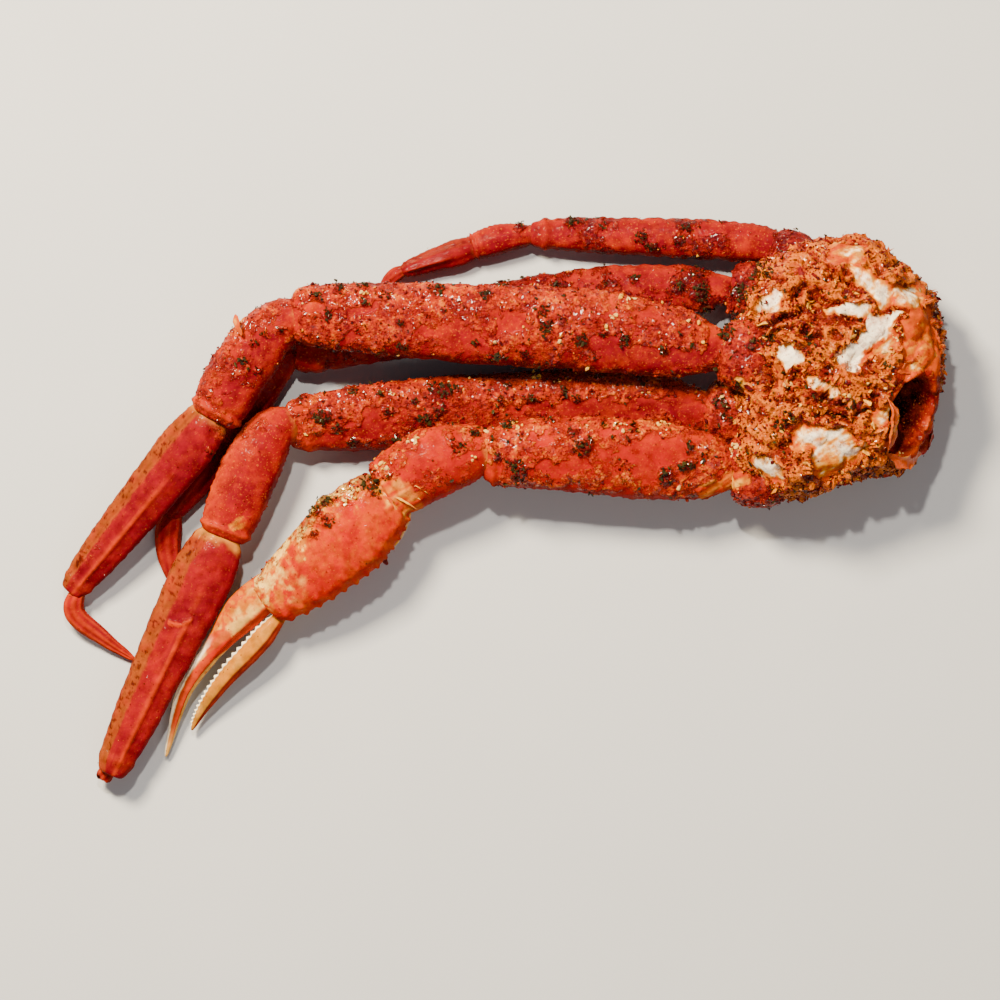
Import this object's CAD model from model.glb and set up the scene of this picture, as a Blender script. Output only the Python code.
"""The looks of a cooked snow crab cluster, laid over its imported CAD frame.

Every segment is a fine surface worked out with numpy along the same middle line as its CAD
solid, raised by a seasoning crust. Loose grains, herbs and garlic are joined meshes on top.
Lengths in the tables are millimetres in the cluster's own layout; meshes are in metres.
"""

from collections import namedtuple

import bpy
import numpy as np
from bpy.props import FloatProperty, FloatVectorProperty, IntProperty, PointerProperty
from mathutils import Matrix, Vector


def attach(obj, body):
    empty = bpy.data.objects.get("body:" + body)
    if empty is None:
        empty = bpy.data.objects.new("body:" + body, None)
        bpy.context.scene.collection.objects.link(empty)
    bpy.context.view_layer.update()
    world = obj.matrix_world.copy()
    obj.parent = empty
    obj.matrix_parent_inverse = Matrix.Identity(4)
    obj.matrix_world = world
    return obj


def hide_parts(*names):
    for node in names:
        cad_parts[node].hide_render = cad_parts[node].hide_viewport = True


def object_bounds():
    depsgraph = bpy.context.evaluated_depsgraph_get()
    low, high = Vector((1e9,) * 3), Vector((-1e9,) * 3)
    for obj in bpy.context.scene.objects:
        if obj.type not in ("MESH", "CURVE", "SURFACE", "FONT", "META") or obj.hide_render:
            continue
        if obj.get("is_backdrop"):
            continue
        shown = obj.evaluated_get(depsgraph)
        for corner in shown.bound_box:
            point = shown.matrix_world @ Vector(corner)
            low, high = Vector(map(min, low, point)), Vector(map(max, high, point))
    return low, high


bl_info = {
    "name": "Snow Crab Cluster",
    "version": (1, 0, 0),
    "blender": (4, 5, 0),
    "location": "3D View > Sidebar > Crab",
    "description": "Builds the shells, crust and seasoning of a cooked snow crab cluster",
    "category": "Add Mesh",
}

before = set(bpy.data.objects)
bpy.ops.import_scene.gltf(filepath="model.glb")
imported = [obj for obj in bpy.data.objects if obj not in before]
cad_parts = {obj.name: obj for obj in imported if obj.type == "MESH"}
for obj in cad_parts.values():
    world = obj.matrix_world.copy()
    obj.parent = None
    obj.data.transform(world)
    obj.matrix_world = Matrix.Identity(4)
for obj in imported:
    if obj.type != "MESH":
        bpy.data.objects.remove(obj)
CAD_LOW, CAD_HIGH = (np.array(corner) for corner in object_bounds())

MM = 0.001
BODY = "root"
LAYOUT_MIDDLE = np.array((-0.802, -2.432, 0.0))  # the box's bottom middle, in the tables' layout
FLOOR_CLEARANCE = 0.03
SQUARENESS = 2.35  # the power of the superellipse that every segment's section is
SURFACES = []

# Angles round a segment's section, from the keel on the claw's side over the top.
NEAR_KEEL = 0.0
TOP = np.pi / 2
FAR_KEEL = np.pi
CREST = TOP - 0.25  # the pale crest of a lower leg
TOOTH_ROW = np.pi * 0.94  # the moving finger's teeth
# Shares of a segment's length where its raised lip and the groove behind it lie.
LIP = 0.955
LIP_GROOVE = 0.925

Segment = namedtuple("Segment", "points half_width half_depth roll_deg")
# A finished surface: its points, their normals, how crusted each is and the area each stands for.
Surface = namedtuple("Surface", "name points normals crust area")


# ---------------------------------------------------------------- the cluster's layout

# How each kind of segment swells from root to tip, as (share of length, share of half width,
# share of half depth), then how round its two ends are.
PROFILES = {
    "ischium": ([(0, 1.1, 1), (0.5, 1.24, 1.08), (1, 1.2, 1.02)], (0.5, 0.3)),
    "merus": ([(0, 0.62, 0.74), (0.13, 0.95, 0.95), (0.35, 1, 1), (1, 0.86, 0.9)], (0.5, 0.2)),
    "carpus": ([(0, 0.55, 0.7), (0.25, 0.74, 0.88), (0.6, 0.94, 1), (1, 1, 0.98)], (0.5, 0.2)),
    "propodus": ([(0, 0.66, 0.74), (0.15, 0.93, 0.95), (0.35, 1, 1), (1, 0.68, 0.84)], (0.5, 0.25)),
    "dactyl": ([(0, 0.72, 0.8), (0.25, 1, 1), (0.6, 0.8, 0.84), (1, 0.4, 0.5)], (0.5, 0.6)),
    "palm": ([(0, 0.5, 0.6), (0.15, 0.84, 0.88), (0.45, 1, 1), (1, 0.78, 0.8)], (0.5, 0.3)),
    "fixed_finger": (
        [(0, 1, 1), (0.25, 0.8, 0.86), (0.4, 0.5, 0.7), (0.5, 0.38, 0.6), (0.8, 0.3, 0.44),
         (1, 0.16, 0.26)],
        (0.5, 0.6),
    ),
    "finger": ([(0, 0.72, 0.8), (0.2, 1, 1), (0.45, 0.76, 0.8), (1, 0.26, 0.34)], (0.5, 0.6)),
    "ribbon": ([(0, 0.55, 1), (0.3, 1, 1), (0.7, 0.9, 1), (1, 0.45, 1)], (0.7, 0.7)),
}

LIMBS = {
    "arm": {
        "ischium": Segment([(78, 7, 15), (70, 6, 15), (61.5, 5.5, 15)], 8.2, 7.2, 0),
        "merus": Segment(
            [(66, 5.6, 15), (40, 8.2, 16.6), (15, 9.8, 17.2), (-5.5, 9.4, 16.6)], 10.5, 6.2, -14),
        "carpus": Segment(
            [(-1, 9.9, 16.6), (-9, 10, 16.6), (-21, 6.5, 16.2), (-32, -0.5, 15)], 10, 6.6, -8),
        "palm": Segment(
            [(-28, 2.2, 15), (-37, -7, 14.2), (-49, -18.4, 12.6), (-64, -31, 10)], 11.8, 7.7, 0),
        "fixed_finger": Segment(
            [(-59, -22.8, 10.3), (-70.5, -33, 8.8), (-79.4, -44, 6.8), (-86.8, -55.2, 4.6),
             (-91.7, -72.2, 1.9)], 7, 4.8, 0),
        "finger": Segment(
            [(-58.5, -31.6, 9.4), (-66, -41, 8.2), (-74.8, -50.4, 6), (-81, -58.6, 4),
             (-84.6, -65, 2.8)], 3.3, 3.4, 0),
    },
    "leg1": {
        "ischium": Segment([(70, 20, 11), (62, 21.4, 10.2), (55, 22, 9.6)], 6.8, 5.8, 0),
        "merus": Segment(
            [(59, 21.7, 9.8), (28, 22.4, 7.4), (-20, 21, 7), (-58, 17.8, 8.6)], 10.4, 5.2, -20),
        "carpus": Segment(
            [(-54, 18.6, 8.6), (-62.5, 15.6, 10.4), (-69.5, 3, 10.4), (-75.8, -12.6, 10)], 8.3, 5.2, -5),
        "propodus": Segment(
            [(-74.2, -8.6, 9.7), (-81, -22, 9.6), (-93, -47.5, 9), (-106.4, -76.8, 8.2)], 8.3, 4.4, 4),
        "dactyl": Segment(
            [(-104.4, -72.8, 8), (-108.2, -77.4, 5), (-103.6, -70, 2), (-95, -56, 1.4)], 2.3, 1.4, 0),
    },
    "leg2": {
        "ischium": Segment([(75, 34.6, 20.8), (67, 36, 20.8), (58.5, 37.2, 20.6)], 7.7, 6.6, 0),
        "merus": Segment(
            [(62.5, 36.8, 21), (28, 42.6, 20), (-20, 45.4, 19.4), (-56.5, 47.3, 18.8)], 10.6, 5.9, -6),
        "carpus": Segment(
            [(-52, 46.9, 18.6), (-60.5, 44.6, 18), (-70, 33.5, 16.6), (-78.3, 19.4, 15.2)], 8.4, 5.2, -6),
        "propodus": Segment(
            [(-75.8, 23.6, 15.4), (-85.2, 12.2, 13.6), (-101.6, -8, 9.2), (-117.4, -27.4, 5)], 7.2, 4, 5),
        "dactyl": Segment(
            [(-113.8, -24, 5.6), (-116.4, -32.6, 4.4), (-109, -39.6, 2.6), (-100, -46, 1.5)], 2.9, 1.9, 0),
    },
    "leg3": {
        "ischium": Segment([(74, 51.6, 9.8), (67.5, 53.6, 8.6), (61.8, 54.6, 7.6)], 6.4, 5.5, 0),
        "merus": Segment(
            [(65.8, 54.8, 7.6), (28, 52.8, 6.2), (-15, 45.8, 5.8), (-57, 37, 5.8)], 7.9, 5.2, 0),
        "carpus": Segment(
            [(-53, 38, 5.6), (-60.8, 35.4, 5), (-69, 23.9, 4.3), (-76.4, 12.8, 4)], 6.5, 3.8, 0),
        "propodus": Segment(
            [(-73.6, 16.1, 4.2), (-80, 8, 3.9), (-86, 0.5, 3.6), (-91, -6.8, 3.3)], 5.4, 3.1, 0),
        "dactyl": Segment(
            [(-88.8, -3.4, 3.3), (-91, -12, 2.8), (-90.3, -20, 2.2), (-88.3, -27.5, 1.6)], 3.7, 2.2, 0),
    },
    "leg4": {
        "ischium": Segment([(84, 60.6, 10.2), (78.6, 63.8, 8.8), (73, 66, 7.6)], 5, 4.6, 0),
        "merus": Segment(
            [(76.6, 64.8, 8), (66, 67.4, 6.8), (36, 69, 5.4), (7.5, 69.8, 4.8)], 5.2, 4.1, 0),
        "carpus": Segment(
            [(11, 69.9, 4.8), (4, 69.2, 4.7), (-2, 68.2, 4.5), (-8.5, 66, 4.3)], 4.1, 3.2, 0),
        "propodus": Segment(
            [(-5, 67.2, 4.4), (-12, 64.8, 4.2), (-19, 62.6, 3.9), (-27.5, 59.8, 3.6)], 3.4, 2.7, 0),
        "dactyl": Segment(
            [(-25.2, 60.6, 3.7), (-29.5, 58.5, 3.2), (-32, 55.5, 2.5), (-33.4, 52.6, 1.8)], 2.1, 1.7, 0),
    },
}

# How far the crust covers each segment (0 to 1), how much more of it lies on the side away from
# the claw, and how much pale membrane shows at the segment's root (0 to 1).
Cover = namedtuple("Cover", "crust lean membrane")
COVERS = {
    "arm_ischium": Cover(0.95, 0.0, 0.2),
    "arm_merus": Cover(0.66, 0.15, 0.0),
    "arm_carpus": Cover(0.45, 0.35, 1.0),
    "arm_palm": Cover(0.24, 0.75, 1.0),
    "arm_fixed_finger": Cover(0.02, 0.0, 0.0),
    "arm_finger": Cover(0.05, 0.0, 0.0),
    "leg1_ischium": Cover(0.95, 0.0, 0.3),
    "leg1_merus": Cover(0.60, 0.8, 0.0),
    "leg1_carpus": Cover(0.14, 0.3, 0.2),
    "leg1_propodus": Cover(0.06, 0.0, 0.5),
    "leg1_dactyl": Cover(0.05, 0.0, 0.3),
    "leg2_ischium": Cover(0.95, 0.0, 0.3),
    "leg2_merus": Cover(0.78, 0.35, 0.0),
    "leg2_carpus": Cover(0.50, 0.5, 0.3),
    "leg2_propodus": Cover(0.16, 0.0, 0.3),
    "leg2_dactyl": Cover(0.12, 0.0, 0.3),
    "leg3_ischium": Cover(0.9, 0.0, 0.2),
    "leg3_merus": Cover(0.52, 0.0, 0.0),
    "leg3_carpus": Cover(0.18, 0.0, 0.3),
    "leg3_propodus": Cover(0.12, 0.0, 0.3),
    "leg3_dactyl": Cover(0.10, 0.0, 0.2),
    "leg4_ischium": Cover(0.8, 0.0, 0.2),
    "leg4_merus": Cover(0.42, 0.2, 0.0),
    "leg4_carpus": Cover(0.25, 0.0, 0.2),
    "leg4_propodus": Cover(0.15, 0.0, 0.2),
    "leg4_dactyl": Cover(0.05, 0.0, 0.2),
}

# The two rear legs, whose shell and crust are deeper in colour.
DEEP_LIMBS = ("leg3", "leg4")

# Seen from above: x, y, half length, half width, turn in degrees of each bare patch of shell.
BARE_SHELL = [
    (39.9, 35.8, 18.6, 3.9, 2), (56.3, 41.4, 3.6, 7.2, 0), (-38.3, 47.7, 4.5, 2.7, 0),
    (-50.5, 48.3, 3, 2.1, 0), (-58.2, 46.5, 3.9, 2.7, 20), (-11.2, 41.4, 4.5, 3.6, 0),
    (2.8, 44.1, 4.5, 3.3, 0), (39.9, 46.5, 5.4, 2.7, 0), (-63.5, 37.6, 3.9, 4.5, 40),
    (-70.7, 23.6, 5.4, 4.2, 50), (-40.4, 41.4, 3.6, 2.4, 0), (28, 39.9, 7.5, 2.7, 0),
    (-34.4, 48.3, 2.4, 1.8, 0), (-19.5, 42.3, 3, 1.5, 0),
    (28.2, 22.2, 33, 2.4, 0), (-34.8, 17.7, 9, 3.6, 20), (-48.3, 12.3, 6.6, 2.1, 20),
    (49.8, 23.1, 7.2, 4.5, -30), (-66.2, 4.5, 12.6, 10.2, 60), (-55.8, 21.9, 3, 1.8, 0),
    (-36.3, 21.9, 3.6, 1.8, 0),
    (40.6, 10.9, 9.6, 6, 0), (37.6, 4.9, 5.4, 3, 0), (-4.1, 4.9, 4.8, 3.9, 0),
    (-18.1, 10.9, 4.8, 5.4, 0), (16.2, 6.1, 7.8, 3, 0), (10.2, 13.9, 3.6, 2.4, 0),
    (-37.5, -9.1, 10.2, 6, 45), (28.1, 14.7, 3, 1.8, 0),
    (37.2, 59.8, 9.6, 2.1, 0), (59.7, 56.8, 4.2, 3.9, 0), (22.2, 58, 3.6, 1.2, 0),
    (-52.8, 34.5, 6.6, 4.8, 50),
    (13.2, 70.7, 6.6, 2.7, 0), (1.8, 68.9, 4.2, 2.7, 0), (56.8, 70.7, 6.6, 1.8, 0),
    (28.2, 70.7, 2.7, 1.8, 0),
]

# Clumps of dark herbs, and below them heaps of garlic: x, y, half length, half width.
HERB_CLUMPS = [
    (-46.9, 47.4, 1.2, 2.1), (-43.9, 54.2, 1.5, 1.8), (-49.9, 51.8, 2.4, 1.5),
    (-37.4, 50.4, 0.9, 0.9), (-30.8, 52.4, 1.5, 0.9), (-17.8, 53.9, 2.7, 1.5),
    (-27.9, 45.3, 1.2, 0.9), (-27, 39.1, 1.8, 1.2), (-16, 48.3, 0.9, 0.9), (-4.7, 52.4, 1.8, 1.5),
    (-0.2, 56, 2.7, 1.2), (14.7, 55.4, 2.7, 1.2), (10.5, 48, 1.5, 1.5), (11.7, 44.1, 2.4, 2.1),
    (20.6, 40.5, 2.4, 1.8), (16.1, 45.9, 1.2, 1.2), (32.2, 40.5, 1.5, 2.4), (42.9, 37.9, 1.2, 1.2),
    (45.9, 32.2, 0.9, 0.6), (-1.7, 35.8, 3, 1.2), (13.2, 34.9, 1.5, 0.9), (-44.8, 39.1, 0.9, 0.9),
    (-66.8, 39.7, 0.9, 0.9), (-60, 43.5, 1.2, 0.9), (-69.8, 34.9, 1.2, 1.2), (-66.2, 32.5, 0.9, 1.2),
    (-64.1, 41.7, 0.9, 0.9), (5.7, 37, 1.5, 0.9), (26.6, 42.3, 1.2, 0.9), (-7.6, 39.9, 0.9, 0.9),
    (-21, 48.3, 1.2, 0.9), (-37.4, 54.8, 1.8, 0.9), (-79, 10.2, 1.2, 1.2),
    (-48.6, 20.1, 3, 2.1), (-44.4, 17.1, 2.4, 1.2), (-40.8, 13.2, 1.5, 1.5), (-15.6, 27.3, 2.4, 2.4),
    (-12, 27.3, 1.2, 1.2), (-18.6, 28.2, 2.1, 1.5), (-30.6, 21.6, 2.1, 1.2), (-24, 24, 1.5, 0.9),
    (-17.1, 21.9, 1.8, 1.5), (-20.4, 19.8, 3.3, 1.2), (-0.9, 24.6, 0.9, 0.9), (16.2, 27, 1.2, 2.1),
    (12.6, 23.4, 0.6, 0.6), (31.2, 29.1, 1.2, 0.9), (37.2, 29.1, 1.2, 0.9), (42.3, 29.1, 0.9, 0.6),
    (-40.8, 27, 1.8, 0.9), (7.2, 24.9, 2.4, 0.9), (19.8, 25.2, 1.5, 0.9), (25.8, 30.9, 1.2, 0.9),
    (1.2, 28.5, 1.5, 0.9), (-54.3, 24.6, 1.2, 0.9), (-33.3, 26.1, 1.2, 0.9), (58.2, 24, 1.8, 2.1),
    (59.7, 20.1, 1.2, 1.2),
    (-35.7, 1.9, 2.7, 2.4), (-34.2, -0.2, 1.5, 1.5), (-47.9, -2.5, 2.4, 1.8),
    (-50.3, -5.5, 1.8, 1.5), (-47, -8.2, 1.8, 1.5), (-50.6, -11.2, 1.2, 0.9), (4.2, 4.6, 2.1, 2.7),
    (2.5, 7.6, 2.4, 1.2), (-1.7, 9.4, 0.9, 1.5), (20.9, 11.5, 2.7, 2.4), (18.5, 15.6, 1.5, 1.5),
    (23, 13.6, 1.2, 1.8), (35.2, 17.1, 0.9, 1.5), (49.8, 11.8, 1.2, 1.8), (43.6, 4, 2.1, 3),
    (45.4, -1, 0.9, 1.2), (49.2, 6.7, 2.7, 1.2), (53.7, 9.7, 0.9, 0.9), (52.2, 7.9, 0.6, 0.6),
    (-11.3, 11.8, 1.8, 1.5), (-13.6, 13, 1.2, 1.2), (1.3, 18, 2.4, 1.5), (4.5, 15.3, 0.9, 0.9),
    (-19.3, 8.8, 0.9, 0.6), (-27.9, 14.4, 2.4, 1.2), (12.6, 18.6, 1.8, 0.9), (26.6, 17.7, 1.2, 0.9),
    (-7.7, 15.6, 1.5, 1.2),
    (53.7, 53.8, 2.7, 3.6), (55.5, 48, 2.7, 2.4), (35.7, 57.4, 1.5, 1.2), (28.2, 56.2, 1.8, 0.9),
    (47.7, 55.6, 2.1, 1.5), (64.2, 53.8, 3.3, 2.4), (70.2, 58.6, 2.7, 2.7), (52.2, 59.2, 1.8, 1.8),
    (-46.8, 32.1, 0.9, 0.9),
    (37.3, 68.9, 1.8, 1.8), (19.2, 72.5, 2.7, 1.8), (27.6, 71.9, 1.2, 1.2), (40.3, 66.2, 2.4, 1.2),
    (49.3, 71.3, 1.5, 1.2), (70.3, 60.2, 3, 1.8), (47.8, 67.7, 1.8, 1.2), (4.2, 72.2, 1.2, 0.9),
    (60.1, 42.2, 1.8, 2.4), (66.6, 39.2, 2.4, 1.8), (71.3, 41, 1.8, 1.5), (81.4, 41, 1.5, 1.8),
    (82.9, 37.4, 1.5, 1.5), (74.6, 31.5, 0.9, 0.6), (58.9, 48.1, 1.8, 1.5), (64.5, 48.1, 1.2, 0.6),
    (60.1, 44.3, 2.7, 0.6), (58.6, 28, 0.9, 1.8), (62.7, 28.5, 1.2, 1.8), (59.5, 23.2, 1.8, 1.5),
    (60.7, 19.3, 0.9, 0.9), (73.4, 17.3, 1.8, 1.8), (76.1, 19.6, 1.8, 1.8), (71.9, 14.3, 1.2, 1.5),
    (88.8, 20.2, 3, 0.9), (92.1, 21.7, 2.1, 0.9), (93.6, 22.9, 1.5, 1.2), (84.7, 23.2, 0.9, 1.5),
    (80.8, 20.2, 1.2, 0.9), (66, 6.6, 0.9, 0.6), (74.9, 9.6, 0.6, 0.6), (53.2, 7.8, 0.9, 0.6),
    (93.3, 42.8, 0.6, 0.6), (99.2, 8.7, 0.9, 0.6), (85.9, 56.1, 0.9, 0.9), (69.6, 50.2, 1.2, 0.9),
    (102.8, 33.3, 1.2, 0.9), (104.6, 23.5, 0.6, 0.9),
]
GARLIC_HEAPS = [
    (34, 51, 1.5, 1.2), (29.5, 47.1, 1.8, 1.5), (31.6, 51.8, 0.9, 0.6), (44.4, 43.5, 0.6, 0.6),
    (42, 42.6, 0.6, 0.6), (27.2, 43.2, 1.2, 0.6), (5.4, 43.8, 1.2, 0.6), (-37.4, 53, 1.5, 0.6),
    (9, 30.9, 1.8, 0.6), (-31.8, 27, 1.2, 0.9), (-29.4, 26.4, 1.2, 0.9), (-46.8, 12.9, 0.9, 0.6),
    (-54, 15, 0.9, 0.9), (14.7, 29.7, 1.2, 1.2), (-64.1, 24, 0.9, 0.6),
    (-32.4, 6.7, 1.8, 1.5), (3.6, 17.4, 2.1, 1.2), (31.1, 16.8, 2.4, 1.5), (43.6, 17.7, 2.4, 1.2),
    (-24.4, 13.9, 1.8, 1.5), (-8.3, 8.5, 1.8, 1.2), (-40.5, -0.2, 3, 2.4), (-42.8, -2.2, 1.8, 1.5),
    (62.4, 10.7, 1.5, 2.1), (82.6, 29.1, 1.5, 1.2), (88.5, 26.5, 1.5, 0.9), (59.5, 25, 1.2, 1.2),
    (76.1, 28, 1.5, 1.2), (90.9, 25, 1.5, 0.9), (96.3, 23.5, 1.5, 1.2), (102.8, 36.9, 1.8, 1.5),
    (105.2, 41.3, 1.5, 1.5), (106.9, 10.1, 1.5, 1.8),
]

# Patches of thin membrane over the joints: x, y, half length, half width, turn in degrees.
MEMBRANE_SPOTS = [
    (-27.5, -2.0, 9.0, 5.0, -38),
    (56.5, 0.4, 5.0, 3.4, 0), (62.5, 3.0, 4.5, 3.6, 20), (-71.2, -9.0, 2.9, 1.7, 10),
    (66.0, 27.5, 4.4, 2.0, -35), (-71.5, 45.2, 2.4, 1.5, 30),
]

# A chip in the lower front leg's shell: x, y, half length, half width and turn in degrees.
SHELL_CHIP = (-87.2, -34.9, 3.6, 1.7, 12)

# The ring of membrane on the arm's root: x, y and radius.
ROOT_RING = (56.2, 0.4, 2.5)

# The shoulder: its middle, its outline seen from above, its rise and its drop.
SHOULDER_CENTRE = np.array((90.5, 32.0, 15.0))
SHOULDER_OUTLINE = [
    (68.2, 56.8), (74.5, 61.2), (82.1, 64.3), (90.0, 66.0), (97.0, 66.6), (104.5, 61.0),
    (109.5, 56.4), (114.0, 51.2), (117.0, 44.5), (118.4, 37.8), (118.8, 31.0), (117.4, 25.4),
    (115.8, 19.0), (114.6, 12.4), (109.6, 7.4), (102.6, 6.0), (95.5, 5.2), (86.5, 1.8),
    (79.1, 0.0), (71.6, 0.6), (66.4, 3.8), (64.6, 10.0), (65.0, 20.0), (65.4, 30.0), (65.8, 40.0),
    (66.4, 48.5),
]
SHOULDER_RISE = 17.4
SHOULDER_DROP = 15.5
SHOULDER_CEILING = 33.6
SHOULDER_EDGE = 117.3
CHAMBER_CENTRE = np.array((109.0, 20.4, 28.0))
CHAMBER_RADII = (7.4, 12.4, 13.0)
CHAMBER_TILT = (6.0, 24.0, -14.0)
CHAMBER_OPENING = np.array((0.50, -0.12, 0.86))
# The stained wall round the chamber, seen from above.
CHAMBER_STAIN = [
    (102.6, 27.0), (104.6, 31.6), (110.5, 33.2), (117.4, 31.0), (119.6, 24.0), (118.4, 15.0),
    (114.6, 9.0), (108.6, 7.4), (103.4, 9.4), (101.8, 15.0), (102.6, 21.0),
]

# Torn membrane on the shoulder, outlined from above, with how white it is (0 to 1).
Sheet = namedtuple("Sheet", "whiteness outline")
SHOULDER_SHEETS = [
    Sheet(0.45, [(86.1, 61.5), (89.2, 63.6), (93.5, 65.4), (96.6, 64.9), (95.7, 61.9),
              (93.5, 59.3), (90.1, 60.1)]),
    Sheet(0.8, [(93.5, 59.3), (97.0, 59.3), (100.5, 55.8), (103.1, 53.6), (104.0, 49.7),
              (101.4, 49.2), (97.9, 52.3), (95.3, 54.9)]),
    Sheet(0.55, [(104.0, 54.0), (107.5, 54.9), (111.8, 55.3), (111.8, 51.4), (110.1, 47.9),
              (105.7, 48.8), (104.0, 50.6)]),
    Sheet(1.0, [(73.5, 53.0), (75.2, 51.4), (74.5, 48.4), (70.4, 47.9), (67.8, 46.4),
              (69.6, 49.7)]),
    Sheet(1.0, [(73.9, 38.3), (76.5, 38.8), (80.0, 36.2), (80.0, 34.0), (77.0, 33.6),
              (74.5, 31.4), (73.5, 34.9)]),
    Sheet(0.95, [(84.8, 47.9), (90.1, 49.2), (94.4, 48.6), (97.9, 49.5), (97.9, 46.2),
              (94.4, 46.2), (90.1, 47.1), (85.3, 46.2)]),
    Sheet(1.1, [(97.9, 46.2), (102.3, 47.1), (105.0, 46.6), (104.0, 43.6), (101.4, 41.0),
              (97.0, 38.8), (94.0, 34.9), (92.7, 31.8), (90.9, 34.0), (87.9, 34.4), (90.1, 36.6),
              (94.4, 40.1), (96.2, 43.6)]),
    Sheet(0.35, [(101.4, 41.0), (104.0, 43.1), (104.9, 39.2), (102.3, 35.7), (97.0, 35.7),
              (94.4, 34.0), (97.0, 38.3)]),
    Sheet(0.1, [(107.5, 47.9), (112.7, 47.9), (116.6, 42.7), (116.6, 34.0), (114.5, 31.4),
              (107.5, 31.4), (105.7, 37.5), (106.6, 43.6)]),
    Sheet(0.6, [(107.5, 34.0), (111.0, 34.9), (112.7, 33.1), (111.8, 30.9), (108.4, 31.4)]),
    Sheet(0.9, [(80.9, 30.5), (83.1, 30.1), (84.0, 28.3), (86.1, 27.9), (85.7, 26.1),
              (82.2, 26.6), (80.9, 28.8)]),
    Sheet(0.9, [(87.0, 27.9), (89.2, 28.1), (89.6, 26.1), (87.4, 25.7)]),
    Sheet(0.62, [(80.5, 17.4), (86.6, 17.0), (90.9, 16.6), (93.5, 13.1), (92.7, 9.6),
              (89.2, 6.1), (84.8, 4.4), (82.2, 6.1), (83.1, 11.3), (78.7, 12.2), (77.0, 11.3),
              (77.8, 15.7)]),
    Sheet(0.75, [(90.1, 11.3), (95.3, 12.2), (97.0, 11.3), (94.4, 8.3), (90.9, 8.7)]),
    Sheet(0.7, [(60.4, 12.2), (62.6, 13.1), (63.9, 10.9), (62.6, 9.1), (60.4, 10.0)]),
    Sheet(0.85, [(67.4, 9.1), (71.7, 8.7), (75.2, 6.1), (75.2, 3.9), (71.7, 3.5), (68.3, 7.0)]),
    Sheet(0.75, [(58.5, 4.2), (63.0, 5.0), (70.1, 4.5), (69.5, -1.5), (64.8, -3.0), (59.0, -2.6)]),
    Sheet(0.6, [(98.8, 20.0), (103.1, 22.7), (103.6, 20.0), (101.0, 16.6), (99.2, 17.4)]),
    Sheet(0.3, [(104.0, 16.6), (104.9, 14.8), (103.1, 11.3), (101.8, 11.3)]),
]

# Clefts between the shoulder's lumps, as lines seen from above.
SHOULDER_CLEFTS = [
    [(67.2, 54.7), (71, 55.8), (74.9, 55.3)],
    [(76.7, 51.7), (80.8, 54.4), (83.8, 53.5), (86.2, 51.1), (89.7, 48.1)],
    [(69, 44), (76.1, 46.4), (83.8, 48.1)],
    [(88, 59.4), (90, 57), (91.8, 54.7)],
    [(80.2, 42.8), (82, 39.8), (84.4, 40.4)],
    [(69, 41.9), (73.1, 42.5), (76.7, 43.1)],
    [(83.8, 20.8), (88.8, 19.9), (93.3, 19.6), (96.3, 22)],
    [(82, 54.7), (83.2, 51.7), (82, 48.1)],
    [(56.2, 28), (60.1, 23.5), (62.4, 18.5)],
    [(56.2, 18.5), (60.1, 17.3), (63.6, 15.5)],
    [(77.9, 31.5), (76.1, 27.4), (78.5, 23.5)],
    [(79.9, 15.5), (77.9, 13.1), (74.3, 11.9)],
    [(99.2, 25.6), (97.7, 22), (99.2, 17.6)],
    [(105.2, 48.1), (108.7, 45.2), (110.5, 39.8)],
    [(86.2, 25), (88, 23.2), (90.9, 23.8)],
    [(90.3, 46.4), (93.3, 44.3), (96.3, 44.9)],
    [(101, 36.9), (104.6, 38), (107.5, 36.9)],
    [(69.6, 35.4), (71.3, 30.9), (70.7, 26.5)],
]


# ---------------------------------------------------------------- numbers on arrays


def blend_rows(start, end, share):
    """One colour for each row: start where the share is 0, end where it is 1."""
    return np.array(start)[None, :3] * (1 - share) + np.array(end)[None, :3] * share


def layer(paint, colour, cover):
    """One colour laid over the paint: cover 0 leaves the paint and 1 hides it."""
    cover = np.clip(cover, 0, 1)[..., None]
    return paint * (1 - cover) + np.array(colour)[:3] * cover


def ramp_up(low, high, value):
    """0 below low and 1 above high, with an eased rise 3t^2 - 2t^3 between them."""
    t = np.clip((value - low) / (high - low), 0, 1)
    return t * t * (3 - 2 * t)


def cell_number(cells, seed):
    """A repeatable number from 0 to 1 for each whole-number cell of space."""
    x, y, z = (cells[..., axis].astype(np.int64).astype(np.uint32) for axis in range(3))
    mixed = x * np.uint32(374761393) + y * np.uint32(668265263) + z * np.uint32(2246822519)
    mixed = mixed + np.uint32((seed * 2654435761) & 0xFFFFFFFF)
    mixed = (mixed ^ (mixed >> np.uint32(13))) * np.uint32(1274126177)
    mixed = (mixed ^ (mixed >> np.uint32(15))) * np.uint32(2246822519)
    return (mixed ^ (mixed >> np.uint32(16))) / 4294967296.0


def soft_noise(points, size, seed):
    """Smooth noise from -1 to 1: the numbers of the eight cells around a point, eased between."""
    place = points / size
    cell = np.floor(place)
    t = place - cell
    t = t * t * (3 - 2 * t)
    total = 0.0
    for corner in np.ndindex(2, 2, 2):
        weight = np.prod(np.where(corner, t, 1 - t), axis=-1)
        total = total + weight * cell_number(cell + corner, seed)
    return total * 2 - 1


def rough_noise(points, size, seed, octaves=4):
    """Soft noise added to itself at half the size and just over half the height, several times."""
    total, height, whole = 0.0, 1.0, 0.0
    for octave in range(octaves):
        total = total + height * soft_noise(points + 17.3 * octave, size / 2**octave, seed + octave)
        whole += height
        height *= 0.55
    return total / whole * 1.6


def creased(points, size, seed, octaves=3):
    """Sharp crests and round hollows from 0 to 1: one less the size of rough noise."""
    return 1 - np.clip(np.abs(rough_noise(points, size, seed, octaves)) * 1.6, 0, 1)


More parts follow.
